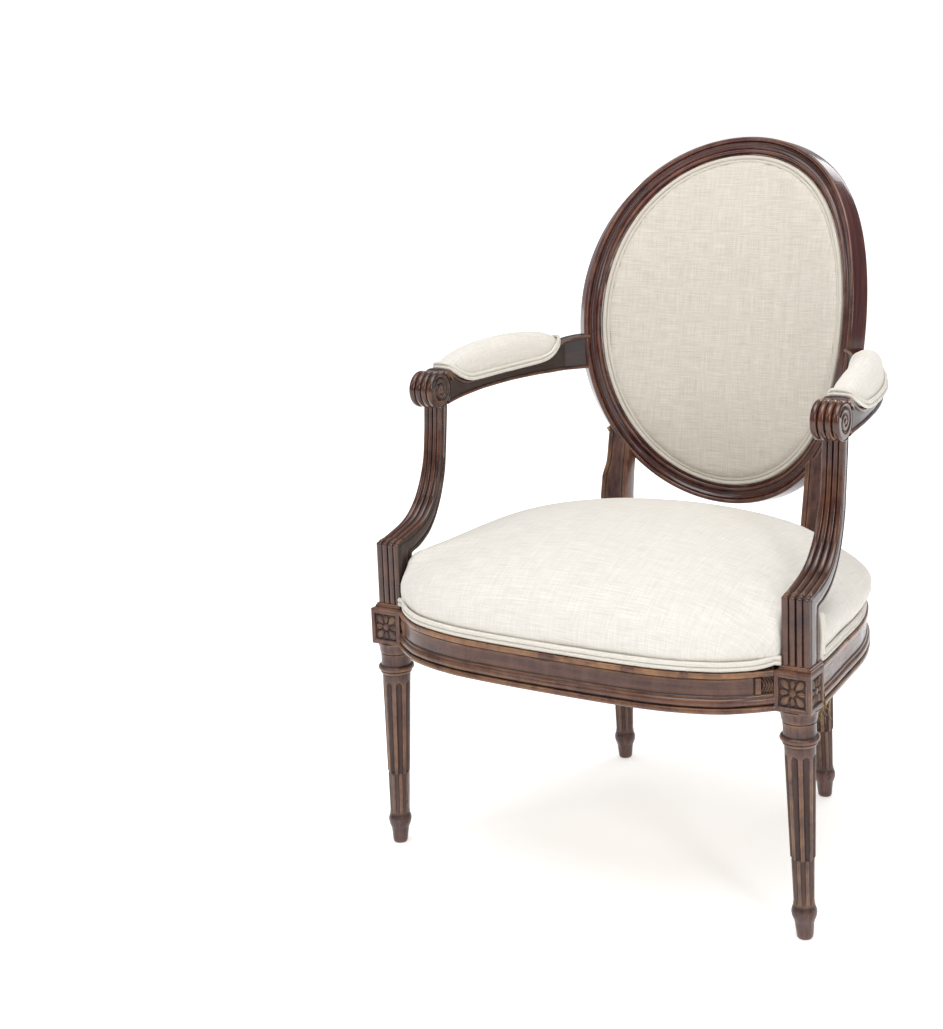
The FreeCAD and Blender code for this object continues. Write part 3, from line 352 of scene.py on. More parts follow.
class Shape:
    def __init__(self):
        self.v, self.f, self.g, self.k = [], [], [], []

    def grid(self, rows, wrap=False, loop=False, cap0=False, cap1=False):
        """rows of (point, grain[, mark]) of equal length; a mark is 1 deep in a cut, where painted shade goes, -1 on a
        rubbed ridge
        """
        b, n, m = len(self.v), len(rows[0]), len(rows)
        for r in rows:
            for q in r:
                self.v.append(tuple(q[0]))
                self.g.append(tuple(q[1]))
                self.k.append(float(q[2]) if len(q) > 2 else 0.0)
        for k in range(m if loop else m - 1):
            a0, b0 = b + k * n, b + ((k + 1) % m) * n
            for i in range(n if wrap else n - 1):
                j = (i + 1) % n
                self.f.append((a0 + i, a0 + j, b0 + j, b0 + i))
        if cap0:
            self.f.append(tuple(b + i for i in range(n))[::-1])
        if cap1:
            self.f.append(tuple(b + (m - 1) * n + i for i in range(n)))

    def mirrored(self):
        s = Shape()
        s.v = [(-x, y, z) for x, y, z in self.v]
        s.f = [f[::-1] for f in self.f]
        s.g = [(a + 700.0, b, c) for a, b, c in self.g]
        s.k = list(self.k)
        return s

    def add(self, o):
        off = len(self.v)
        self.v += o.v
        self.g += o.g
        self.k += o.k
        self.f += [tuple(i + off for i in f) for f in o.f]

    def object(self, name, mat, attr="grain", sharp=38.0, merge=0.0):
        me = bpy.data.meshes.new(name)
        me.from_pydata([(x * MM, (y + YS) * MM, z * MM) for x, y, z in self.v], [], self.f)
        at = me.attributes.new(attr, "FLOAT_VECTOR", "POINT")
        at.data.foreach_set("vector", [c * MM for g in self.g for c in g])
        if attr == "grain":
            at = me.attributes.new("mark", "FLOAT", "POINT")
            at.data.foreach_set("value", self.k)
        bm = bmesh.new()
        bm.from_mesh(me)
        if merge:
            bmesh.ops.remove_doubles(bm, verts=bm.verts, dist=merge * MM)
        bmesh.ops.recalc_face_normals(bm, faces=bm.faces)
        bm.to_mesh(me)
        bm.free()
        me.shade_smooth()
        me.set_sharp_from_angle(angle=sharp * D)
        me.materials.append(mat)
        ob = bpy.data.objects.new(name, me)
        bpy.context.scene.collection.objects.link(ob)
        if attr == "grain":
            edge_marks(me)
        return ob


def edge_marks(me):
    """wear on convex edges and painted shade in hollows, from the curvature around each vertex and the marks"""
    mk = [a.value for a in me.attributes["mark"].data]
    bm = bmesh.new()
    bm.from_mesh(me)
    bm.normal_update()
    wear, hollow_shade = [0.0] * len(bm.verts), [0.0] * len(bm.verts)
    for v in bm.verts:
        lo, hi = 0.0, 0.0
        for e in v.link_edges:
            o = e.other_vert(v)
            d = o.co - v.co
            L = d.length
            if L < 1e-7:
                continue
            k = 2 * v.normal.dot(d) / (L * max(L, 0.0009)) * MM
            lo, hi = min(lo, k), max(hi, k)
        m = mk[v.index]
        wear[v.index] = max(0.0, min(1.0, (-lo - 0.10) / 0.5 - 2.0 * max(m, 0.0)))
        # painted shade mask: concave curvature, raised further by the marks deep in cuts
        hollow_shade[v.index] = max(0.0, min(1.0, (hi - 0.10) / 0.5))
        wear[v.index] = max(wear[v.index], -m)
        hollow_shade[v.index] = max(hollow_shade[v.index], m)
    for _ in range(2):
        w2, d2 = wear[:], hollow_shade[:]
        for v in bm.verts:
            if v.link_edges:
                n = [e.other_vert(v).index for e in v.link_edges]
                w2[v.index] = 0.6 * wear[v.index] + 0.4 * sum(wear[i] for i in n) / len(n)
                d2[v.index] = 0.6 * hollow_shade[v.index] + 0.4 * sum(hollow_shade[i] for i in n) / len(n)
        wear, hollow_shade = w2, d2
    bm.free()
    for nm, a in (("wear", wear), ("hollow_shade", hollow_shade)):
        at = me.attributes.new(nm, "FLOAT", "POINT")
        at.data.foreach_set("value", a)


def done(ob, nodes):
    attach(ob, "root")
    if nodes:
        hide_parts(*nodes)
    return ob


def arc(cx, cy, r, a0, a1, n, ry=None):
    ry = r if ry is None else ry
    return [(cx + r * math.cos((a0 + (a1 - a0) * i / n) * D), cy + ry * math.sin((a0 + (a1 - a0) * i / n) * D)) for i in range(n + 1)]


# ------------------------------------------------------------------ back geometry
BACK_A, BACK_B, BACK_R = 221.0, 257.0, 272.0
BACK_Y, BACK_Z, RAKE = 229.0, 647.6, 0.188
FRAME_T, FRAME_W, FACE_W, REBATE, WELT_W = 24.0, 46.0, 26.0, 3.4, 11.0
W0 = FACE_W + WELT_W + 0.9
SR, CR = math.sin(RAKE), math.cos(RAKE)


def uvn(u, v, n):
    a = u / BACK_R
    fy = -BACK_R + (BACK_R + n) * math.cos(a)
    return ((BACK_R + n) * math.sin(a), BACK_Y + v * SR + fy * CR, BACK_Z + v * CR - fy * SR)


def unwrap(x, y, z):
    v = (y - BACK_Y) * SR + (z - BACK_Z) * CR
    fy = (y - BACK_Y) * CR - (z - BACK_Z) * SR
    return math.atan2(x, BACK_R + fy) * BACK_R, v, math.hypot(x, BACK_R + fy) - BACK_R


def inward(t):
    nu, nv = BACK_B * math.cos(t), BACK_A * math.sin(t)
    k = math.hypot(nu, nv)
    return -nu / k, -nv / k


def oval(t, w, n):
    nu, nv = inward(t)
    full = 529.0 * nu * nu / (2 * BACK_R)
    corr = (w - 23.0) ** 2 * nu * nu / (2 * BACK_R) if w <= 46 else full * max(0.0, 1 - (w - 46) / 60.0)
    return uvn(BACK_A * math.cos(t) + nu * w, BACK_B * math.sin(t) + nv * w, n + corr)


def oval_s(t, s, w0, n):
    nu, nv = inward(t)
    full = 529.0 * nu * nu / (2 * BACK_R)
    return uvn((BACK_A * math.cos(t) + nu * w0) * s, (BACK_B * math.sin(t) + nv * w0) * s, n + full * max(0.0, 1 - (1 - s) * 3.0))


def oval_len(t0, n=240):
    """arc length table of the oval's edge"""
    tab, s = [(0.0, 0.0)], 0.0
    for i in range(1, n + 1):
        t = 2 * math.pi * i / n
        tm = t - math.pi / n
        s += math.hypot(BACK_A * math.sin(tm), BACK_B * math.cos(tm)) * 2 * math.pi / n
        tab.append((t, s))
    return tab


OV_TAB = oval_len(0)
OV_TOTAL = OV_TAB[-1][1]


def ov_s(t):
    k = math.floor(t / (2 * math.pi))
    return k * OV_TOTAL + lin(OV_TAB, t - k * 2 * math.pi)


# moulded section of the oval: (w inward from the outer edge, n behind the front)
OVAL_SEC = []
OVAL_SEC += arc(3.3, 3.6, 3.3, 180, 350, 12)                      # outer bead: mirrored below to point forward
OVAL_SEC = [(w, 3.6 - (n - 3.6)) if False else (w, 3.6 + (n - 3.6)) for w, n in OVAL_SEC]
OVAL_SEC = [(3.3 - 3.3 * math.cos(a * D), 3.5 - 3.3 * math.sin(a * D)) for a in range(-10, 171, 15)]
OVAL_SEC += [(6.75, 4.1), (7.3, 4.0), (7.7, 2.2), (8.1, 1.6)]
OVAL_SEC += [(8.1 + 8.6 * k / 9, 1.6 + 2.5 * math.sin(math.pi * k / 9)) for k in range(1, 9)]
OVAL_SEC += [(16.7, 1.5), (17.0, 1.9), (17.25, 2.6)]
OVAL_SEC += [(20.2 - 2.95 * math.cos(a * D), 3.0 - 3.0 * math.sin(a * D)) for a in range(20, 171, 15)]
OVAL_SEC += [(23.3, 3.6), (23.9, 3.6), (24.1, 2.2), (24.4, 1.8), (25.6, 1.8), (26.0, 2.2), (26.0, 3.4), (30.0, 3.4), (46.0, 3.4), (46.0, 12.0), (46.0, 20.6), (30.0, 20.6),
             (26.0, 20.6), (26.0, 23.2), (25.4, 23.9), (24.5, 24.0), (19.0, 24.0), (18.6, 23.2), (18.1, 23.2), (17.7, 24.0), (12.0, 24.0), (6.0, 24.0), (2.8, 24.0), (1.2, 23.6), (0.35, 22.6), (0.05, 21.2), (0.0, 17.0),
             (0.0, 12.0), (0.0, 8.0), (0.0, 5.6)]


def wobble(i, j, amp, f=0.08):
    return amp * noise.noise(Vector((i * f, j * f, 3.7)))


def oval_piece(name, node, t0, t1):
    s = Shape()
    n = max(8, int(abs(t1 - t0) / (1.5 * D)))
    rows = []
    for i in range(n + 1):
        t = t0 + (t1 - t0) * i / n
        ss = ov_s(t)
        row = []
        for j, (w, q) in enumerate(OVAL_SEC):
            dq = wobble(ss, j * 9, 0.16, 0.035) if q < 10 and w < 26 else 0.0
            mark = 0.0
            if q < 10 and (6.5 < w < 7.5 or 17.1 < w < 17.6 or 23.2 < w < 24.0):
                mark = 0.9
            elif q < 10 and (7.7 <= w <= 8.1 or 16.6 < w < 16.8 or 24.3 < w < 25.7):
                mark = -0.6
            row.append((oval(t, w, q + dq), (ss + 53.0 * len(name), w, q), mark))
        rows.append(row)
    s.grid(rows, wrap=True, cap0=True, cap1=True)
    return done(s.object(name, MAT["frame"]), [node])


J_TOP, J_LOW = 48 * D, -52 * D
oval_piece("back_frame_crest", "back_crest", J_TOP, math.pi - J_TOP)
oval_piece("back_frame_side_left", "back_side_left", J_LOW, J_TOP)
oval_piece("back_frame_side_right", "back_side_right", math.pi - J_TOP, math.pi - J_LOW)
oval_piece("back_frame_lower", "back_lower_rail", math.pi - J_LOW, 2 * math.pi + J_LOW)


# ------------------------------------------------------------------ piping
def tube_pair(s, path_a, path_b, r=2.9, closed=False, cap=True, sides=10):
    """two cords side by side along their own centre lines"""
    for kk, path in enumerate((path_a, path_b)):
        tube(s, path, r, closed, sides, kk * 40.0)


def tube(s, path, r, closed=False, sides=10, off=0.0, squash=1.0, wob=0.10):
    P = [Vector(p) for p in path]
    n = len(P)
    rows, L, ref = [], 0.0, None
    for i, p in enumerate(P):
        a = P[i - 1] if (i or closed) else p
        b = P[(i + 1) % n] if (i + 1 < n or closed) else p
        t = (b - a).normalized()
        if ref is None:
            ref = Vector((0, 0, 1)) if abs(t.z) < 0.9 else Vector((0, 1, 0))
        x = (ref - t * ref.dot(t)).normalized()
        ref = x
        y = t.cross(x)
        if i:
            L += (p - P[i - 1]).length
        rr = r(i / max(n - 1, 1)) if callable(r) else r
        rr = rr + wob * noise.noise(Vector((L * 0.09 + off, off, 1.3)))
        row = []
        for k in range(sides):
            a_ = 2 * math.pi * k / sides
            q = p + x * (rr * math.cos(a_)) + y * (rr * math.sin(a_) * squash)
            row.append((q, (L + off, rr * a_ + off, 0.0)))
        rows.append(row)
    s.grid(rows, wrap=True, loop=closed, cap0=not closed, cap1=not closed)


def back_piping(name, node, side):
    s = Shape()
    N = 300
    start = -90 * D if side > 0 else -90 * D
    for kk, w in enumerate((29.2, 34.55)):
        base = 0.2 if side > 0 else FRAME_T - REBATE + 2.9
        path = []
        for i in range(N + 1):
            f = i / N
            t = start + (2 * math.pi) * f
            lift = 0.0
            e = min(f, 1 - f) * OV_TOTAL
            if e < 7.0:
                lift = (1 - e / 7.0) * 1.1 * (1 if f < 0.5 else -0.4)
            q = base - (lift if side > 0 else -lift) + 0.12 * noise.noise(Vector((i * 0.12, kk * 5.0, 0.5)))
            path.append(oval(t, w + 0.25 * noise.noise(Vector((i * 0.07, kk * 3.0, 9.5))), q))
        tube(s, path, 2.8, False, 10, kk * 40.0)
    # cloth flange under the cords
    rows = []
    q = REBATE - 0.7 if side > 0 else FRAME_T - REBATE + 0.7
    q2 = q - 1.1 if side > 0 else q + 1.1
    for i in range(160):
        t = 2 * math.pi * i / 160
        rows.append([(oval(t, w, z), (ov_s(t), w, 0)) for w, z in ((26.6, q), (41.0, q), (41.0, q2), (26.6, q2))])
    s.grid(rows, wrap=True, loop=True)
    return done(s.object(name, MAT["pipeback"], "fabric", 60), [node])


back_piping("back_piping", "back_welt", 1)
back_piping("outside_back_piping", "outside_back_welt", -1)


# ------------------------------------------------------------------ stuffed pads
def pillow(name, shape, voxel, cap, pin, mat, fabric, frames=20, pressure=4.0, extra=None, smooth=2):
    """closed form, remeshed, puffed by cloth pressure with its tacked edge held, then given its cloth coordinates"""
    src = shape.object(name + "_src", mat, "fabric")
    mod = src.modifiers.new("v", "REMESH")
    mod.mode = "VOXEL"
    mod.voxel_size = voxel * MM
    mod.use_smooth_shade = True
    dg = bpy.context.evaluated_depsgraph_get()
    me = bpy.data.meshes.new_from_object(src.evaluated_get(dg))
    bpy.data.objects.remove(src)
    for a in list(me.attributes):
        if a.name == "fabric":
            me.attributes.remove(a)
    bm = bmesh.new()
    bm.from_mesh(me)
    for _ in range(smooth):
        bmesh.ops.smooth_vert(bm, verts=bm.verts, factor=0.5, use_axis_x=True, use_axis_y=True, use_axis_z=True)
    bm.to_mesh(me)
    bm.free()
    ob = bpy.data.objects.new(name, me)
    bpy.context.scene.collection.objects.link(ob)
    start = [v.co.copy() for v in me.vertices]
    vg = ob.vertex_groups.new(name="held")
    for i, c in enumerate(start):
        wgt = pin(c.x / MM, c.y / MM - YS, c.z / MM)
        if wgt > 0.01:
            vg.add([i], min(1.0, wgt), "REPLACE")
    cl = ob.modifiers.new("cloth", "CLOTH")
    st = cl.settings
    st.quality = 5
    st.mass = 0.3
    st.tension_stiffness = st.compression_stiffness = 12.0
    st.shear_stiffness = 5.0
    st.bending_stiffness = 0.6
    st.use_pressure = True
    st.uniform_pressure_force = pressure
    st.effector_weights.gravity = 0.0
    st.vertex_group_mass = "held"
    cl.collision_settings.use_collision = False
    sc = bpy.context.scene
    cl.point_cache.frame_start, cl.point_cache.frame_end = 1, frames
    for f in range(1, frames + 1):
        sc.frame_set(f)
    dg = bpy.context.evaluated_depsgraph_get()
    ev = ob.evaluated_get(dg)
    pts = [v.co.copy() for v in ev.data.vertices]
    ob.modifiers.remove(cl)
    sc.frame_set(1)
    d = sorted((p - q).length for p, q in zip(pts, start))
    top = max(d[int(len(d) * 0.995)], 1e-9)
    k = min(1.0, cap * MM / top)
    for v, p, q in zip(me.vertices, pts, start):
        v.co = q + (p - q) * k
    ob.vertex_groups.clear()
    print("puff", name, len(start), "verts, free rise %.1f mm, kept %.1f mm, top at %.1f mm" % (top / MM, top * k / MM, max(v.co.z for v in me.vertices) / MM))
    if extra:
        for v in me.vertices:
            c = v.co
            dx, dy, dz = extra(c.x / MM, c.y / MM - YS, c.z / MM)
            v.co = Vector((c.x + dx * MM, c.y + dy * MM, c.z + dz * MM))
    at = me.attributes.new("fabric", "FLOAT_VECTOR", "POINT")
    vals = []
    for v in me.vertices:
        vals += [c * MM for c in fabric(v.co.x / MM, v.co.y / MM - YS, v.co.z / MM)]
    at.data.foreach_set("vector", vals)
    me.materials.clear()
    me.materials.append(mat)
    me.shade_smooth()
    sub = ob.modifiers.new("sub", "SUBSURF")
    sub.levels = sub.render_levels = 1
    return ob


def smoothstep(a, b, x):
    t = max(0.0, min(1.0, (x - a) / (b - a)))
    return t * t * (3 - 2 * t)


# ---- inside back
def back_pad():
    s = Shape()
    N = 120
    ts = [2 * math.pi * i / N for i in range(N)]
    prof = [("w", W0 - 3.9, REBATE - 0.5), ("w", W0 - 4.0, 0.8), ("w", W0 - 3.2, -1.3), ("w", W0 - 1.6, -3.6), ("w", W0 + 0.8, -5.7), ("w", W0 + 4.6, -7.6), ("w", W0 + 9.0, -8.9),
            ("s", 0.93, -10.6), ("s", 0.86, -12.6), ("s", 0.76, -14.6), ("s", 0.66, -16.0), ("s", 0.52, -17.4), ("s", 0.40, -18.2), ("s", 0.26, -18.8), ("s", 0.12, -19.1)]
    rows = [[(oval_s(t, 0.5, W0 + 9, REBATE - 0.5), (0, 0, 0)) for t in ts]]
    for kind, a, n in prof:
        rows.append([((oval(t, a, n) if kind == "w" else oval_s(t, a, W0 + 9, n)), (0, 0, 0)) for t in ts])
    s.grid(rows, wrap=True, cap0=True, cap1=True)

    def edge(x, y, z):
        """distance inside the piping, in mm, and how deep"""
        u, v, n = unwrap(x, y, z)
        k = math.hypot(u / (BACK_A - W0), v / (BACK_B - W0))
        return (1 - k) * (BACK_A + BACK_B - 2 * W0) / 2, n

    def pin(x, y, z):
        d, n = edge(x, y, z)
        if n > -1.0:
            return 1.0
        return 1.0 - smoothstep(2.5, 14.0, d)

    def fabric(x, y, z):
        u, v, n = unwrap(x, y, z)
        return (u, v, 0.0)

    def extra(x, y, z):
        d, n = edge(x, y, z)
        u, v, n = unwrap(x, y, z)
        if n > 0:
            return (0, 0, 0)
        ang = math.atan2(v, u)
        a = 0.32 * math.sin(ang * 62 + 3 * noise.noise(Vector((u * 0.01, v * 0.01, 0)))) * math.exp(-((d - 5) / 6.0) ** 2)
        a += 0.45 * noise.noise(Vector((u * 0.018, v * 0.012, 2.2)))
        return (0, -a, 0)

    ob = pillow("back_pad", s, 4.5, 5.0, pin, MAT["back"], fabric, extra=extra, pressure=4.0)
    done(ob, ["back_cover", "back_stuffing", "back_hessian", "back_webbing"])


back_pad()


# ---- outside back: a stretched cloth in the rear rebate
def outside_back():
    s = Shape()
    N = 140
    NB = FRAME_T - REBATE
    ts = [2 * math.pi * i / N for i in range(N)]
    prof = [(None, 0.02, NB + 1.9), (None, 0.15, NB + 1.9), (None, 0.3, NB + 1.8), (None, 0.45, NB + 1.7), (None, 0.6, NB + 1.6), (None, 0.72, NB + 1.5), (None, 0.84, NB + 1.5), (None, 0.93, NB + 1.5)]
    rows = []
    for _, k, n in prof:
        rows.append([])
        for t in ts:
            p = oval_s(t, k, W0 + 9, n + 0.25 * noise.noise(Vector((math.cos(t) * k * 3, math.sin(t) * k * 3, 1.0))))
            u, v, q = unwrap(*p)
            rows[-1].append((p, (u, v, 0)))
    for w, n in ((W0 + 8, NB + 1.6), (W0 + 4, NB + 1.6), (W0 + 0.2, NB + 1.5)):
        rows.append([])
        for t in ts:
            p = oval(t, w, n)
            u, v, q = unwrap(*p)
            rows[-1].append((p, (u, v, 0)))
    s.grid(rows, wrap=True, cap0=True)
    ob = s.object("outside_back_cloth", MAT["outback"], "fabric", 60)
    so = ob.modifiers.new("thick", "SOLIDIFY")
    so.thickness = 0.0011
    so.offset = 0.0
    done(ob, ["outside_back_cover"])


outside_back()


# ------------------------------------------------------------------ seat outline
FRONT_PLAN = [(0, -305), (45, -304.6), (85, -303.4), (145, -298.5), (205, -281.5), (234, -263), (257.5, -243)]
SIDE_PLAN = [(299.5, -203.5), (296.5, -160), (293, -120), (285.5, -40), (273, 10), (256.5, 51), (226, 94), (174, 143)]
FRONT_FULL = [(-x, y) for x, y in FRONT_PLAN[::-1]][:-1] + FRONT_PLAN
front_line = [p.to_2d() for p in catmull([(x, y, 0) for x, y in FRONT_FULL], 24)]
side_line = [p.to_2d() for p in catmull([(x, y, 0) for x, y in SIDE_PLAN], 20)]
half = [p for p in front_line if p.x >= 0]
half += [Vector((262, -243.5)), Vector((281, -243.5)), Vector((297.5, -240)), Vector((300.5, -224))] + list(side_line)
half += [Vector((160, 151)), Vector((140, 160)), Vector((118, 163)), Vector((80, 163.5)), Vector((40, 163.5)), Vector((0, 163.5))]
ring = half + [Vector((-p.x, p.y)) for p in half[::-1][1:-1]]
RIM = [p.to_2d() for p in resample([(p.x, p.y, 0) for p in ring], 5.0, True)]
NR = len(RIM)
RN = []
for i in range(NR):
    a, b = RIM[i - 2], RIM[(i + 2) % NR]
    t = (b - a).normalized()
    RN.append(Vector((t.y, -t.x)))
CX0, CY0 = 0.0, -62.0
NX, NY, BX, BY = 262.2, -200.3, 129.4, 126.4     # inner faces of the posts and of the rear legs


def clip_notch(x, y, soft=0.0):
    """pulls a plan point back to the near faces of the posts and rear legs"""
    ax = abs(x)
    if ax > NX and y < NY:
        dx, dy = ax - CX0, y - CY0
        t = max((NX - CX0) / dx, (NY - CY0) / dy)
        ax, y = CX0 + dx * t, CY0 + dy * t
    elif ax > BX and y > BY:
        dx, dy = ax, y - CY0
        t = max(BX / dx, (BY - CY0) / dy)
        ax, y = dx * t, CY0 + dy * t
    return math.copysign(ax, x), y


# the pad swells past the side rails between the posts and the rear legs
SWELL_Y = [(-160, 0.0), (-120, 1.0), (-40, 4.5), (10, 9.0), (52, 10.0), (97, 7.0), (125, 2.0), (138, 0.0)]
SWELL_Z = [(337.0, 0.0), (345.0, 1.0), (361.0, 1.0), (373.0, 0.7), (395.0, 0.0)]


def rim_pt(i, inset, sc=1.0, z=0.0):
    p, n = RIM[i], RN[i]
    if abs(p.x) > 170 and -160 < p.y < 138:
        inset -= lin(SWELL_Y, p.y) * lin(SWELL_Z, z)
    x, y = p.x - n.x * inset - CX0, p.y - n.y * inset - CY0
    r = math.hypot(x, y)
    if sc < 0.97 and r > 1.0:
        # the crown rounds off towards an ellipse so that no ridge runs to the corners
        ey = 228.0 if y < 0 else 212.0
        k = smoothstep(0.03, 0.45, 1.0 - sc)
        re = 1.0 / math.hypot(x / r / 276.0, y / r / ey)
        f = (1 - k) + k * re / r
        x, y = x * f, y * f
    return CX0 + x * sc, CY0 + y * sc


def seat_pad():
    s = Shape()
    rings = [(6.8, 324.2, 1.0), (6.8, 337.0, 1.0), (3.8, 341.0, 1.0), (2.8, 346.0, 1.0), (2.9, 352.0, 1.0), (5.2, 361.0, 1.0), (9.0, 368.0, 1.0), (13.0, 373.5, 0.985),
             (13.0, 381.0, 0.957), (13.0, 389.0, 0.92), (13.0, 396.0, 0.88), (13.0, 405.5, 0.81), (13.0, 413.0, 0.74), (13.0, 420.5, 0.65), (13.0, 426.0, 0.56), (13.0, 430.5, 0.46), (13.0, 433.5, 0.36), (13.0, 435.6, 0.26), (13.0, 436.6, 0.16)]
    rows = []
    rows.append([((*rim_pt(i, 8, 0.5), 324.2), (0, 0, 0)) for i in range(NR)])
    for inset, z, sc in rings:
        row = []
        for i in range(NR):
            x, y = clip_notch(*rim_pt(i, inset, sc, z))
            row.append(((x, y, z), (0, 0, 0)))
        rows.append(row)
    s.grid(rows, wrap=True, cap0=True, cap1=True)

    def near_notch(x, y):
        ax = abs(x)
        d1 = max(NX - ax, y - NY, 0.0) if (ax < NX or y > NY) else 0.0
        d1 = math.hypot(max(NX - ax, 0), max(y - NY, 0))
        d2 = math.hypot(max(BX - ax, 0), max(BY - y, 0))
        return min(d1, d2)

    def pin(x, y, z):
        p = 1.0 - smoothstep(338.0, 349.0, z)
        q = 1.0 - smoothstep(4.0, 26.0, near_notch(x, y))
        return max(p, q)

    def fabric(x, y, z):
        dx, dy = x / 300.0, (y + 62) / 240.0
        ax, ay = abs(dx) ** 5 + 1e-9, abs(dy) ** 5 + 1e-9
        k = math.hypot(ax, ay)
        drop = max(0.0, 375.0 - z)
        return (x + math.copysign(ax / k, dx) * drop, y + math.copysign(ay / k, dy) * drop, 0.0)

    def extra(x, y, z):
        r = math.hypot(x, (y + 62) * 1.1)
        out = Vector((x, y + 62, 0)).normalized()
        ang = math.atan2(y + 62, x)
        low = math.exp(-((z - 347.0) / 8.0) ** 2)
        a = 0.35 * math.sin(ang * 70 + 4 * noise.noise(Vector((x * 0.01, y * 0.01, 0)))) * low
        a += 0.9 * noise.noise(Vector((x * 0.012, y * 0.012, 5.0)))
        b = 0.9 * noise.noise(Vector((x * 0.010 + 3, y * 0.014, 1.0)))
        return (out.x * a, out.y * a, b if z > 360 else 0)

    ob = pillow("seat_pad", s, 6.0, 9.0, pin, MAT["seat"], fabric, extra=extra, pressure=4.0, smooth=3)
    done(ob, ["seat_cover", "seat_stuffing", "seat_hessian", "seat_webbing"])


seat_pad()


def seat_piping():
    s = Shape()
    zl, zu = 326.9, 332.6
    # front run, between the posts
    pts = [p for p in front_line]
    tang = []
    run = resample([(p.x, p.y, 0) for p in front_line], 5.0)
    n = len(run)
    for kk, z in enumerate((zl, zu)):
        path = []
        for i, p in enumerate(run):
            a, b = run[max(i - 1, 0)], run[min(i + 1, n - 1)]
            t = (b - a).normalized()
            nn = Vector((t.y, -t.x, 0))
            q = p - nn * 3.3
            e = min(i, n - 1 - i) * 5.0
            lift = max(0.0, 1 - e / 34.0) ** 2 * 3.4
            tuck = max(0.0, 1 - e / 12.0) ** 1.5 * 3.2
            path.append((q.x, q.y + tuck, z + lift + 0.15 * noise.noise(Vector((i * 0.2, kk * 4.0, 2.0)))))
        sg = 1
        a0, a1 = Vector(path[0]), Vector(path[-1])
        path = [(-263.4, a0.y + 1.6, a0.z + 0.2)] + path + [(263.4, a1.y + 1.6, a1.z + 0.2)]
        tube(s, path, 2.95, False, 10, kk * 40)
    # side runs: up behind the post, along the rail to the rear leg
    run = resample([(p.x, p.y, 0) for p in side_line], 5.0)
    n = len(run)
    for sx in (1, -1):
        for kk, z in enumerate((zl, zu)):
            back = 1.6 if kk == 0 else 7.4
            base = []
            for i, p in enumerate(run):
                a, b = run[max(i - 1, 0)], run[min(i + 1, n - 1)]
                t = (b - a).normalized()
                nn = Vector((t.y, -t.x, 0))
                q = p - nn * 3.3
                if q.y > NY + back + 5.5 and q.x > 179:
                    base.append((q.x, q.y, z + 0.15 * noise.noise(Vector((i * 0.2, kk * 4.0, 2.0)))))
            xs = base[0][0]
            y0 = NY + back
            corner = [(xs - 15.0, y0 + 1.0, 386.0), (xs - 6.0, y0 + 0.4, 385.0), (xs + 0.2, y0, 380.0), (xs + 1.7, y0, 369.0), (xs + 2.0, y0, 355.0), (xs + 1.6, y0, 344.0), (xs + 0.8, y0 + 0.2, z + 6.5), (xs + 0.3, y0 + 1.4, z + 2.6), (xs + 0.1, y0 + 3.6, z + 0.6)]
            pth = [tuple(p) for p in catmull(corner + [base[0]], 3)][:-1] + base + [(175.6, 139.5, z)]
            tube(s, [(sx * x, y, zz) for x, y, zz in pth], 2.9, False, 10, kk * 40 + 200 * (sx > 0))
    # back run
    for kk, z in enumerate((zl, zu)):
        tube(s, [(x, 160.2 + (0 if abs(x) < 115 else -(abs(x) - 115) * 0.12), z) for x in range(-129, 130, 6)], 2.9, False, 10, kk * 40 + 500)
    ob = s.object("seat_piping", MAT["pipe"], "fabric", 60)
    done(ob, ["seat_welt"])


seat_piping()


# ------------------------------------------------------------------ seat rails
# outer face, top to bottom: (out from the plan line, z)
RAIL_FACE = [(-29.0, 323.5), (-12.0, 323.5), (-1.0, 323.5), (0.5, 323.35), (1.3, 322.9), (1.65, 322.0), (1.65, 318.4), (1.3, 317.5), (0.4, 317.0), (-0.9, 316.9), (-1.3, 316.4), (-1.2, 315.6), (-0.9, 315.2),
             (-0.85, 313.4), (-0.85, 311.7), (-0.85, 310.0), (-0.85, 308.3), (-0.85, 306.6), (-0.85, 304.9), (-0.85, 303.2), (-0.85, 301.5), (-0.85, 299.8), (-0.85, 298.4), (-0.85, 297.4), (-0.5, 296.6), (0.1, 296.2), (0.7, 295.4), (1.0, 294.3), (1.1, 293.4), (1.5, 293.1), (2.5, 292.3), (3.3, 291.0),
             (3.7, 289.2), (3.6, 287.3), (3.0, 285.9), (2.0, 285.0), (0.8, 284.8), (0.1, 284.4), (0.1, 283.5), (0.9, 283.0), (2.2, 282.9), (3.4, 282.0), (4.1, 280.3), (4.1, 278.7),
             (3.6, 277.2), (2.6, 276.3), (1.2, 276.0), (-12.0, 276.0), (-29.0, 276.0), (-29.0, 290.0), (-29.0, 308.0)]


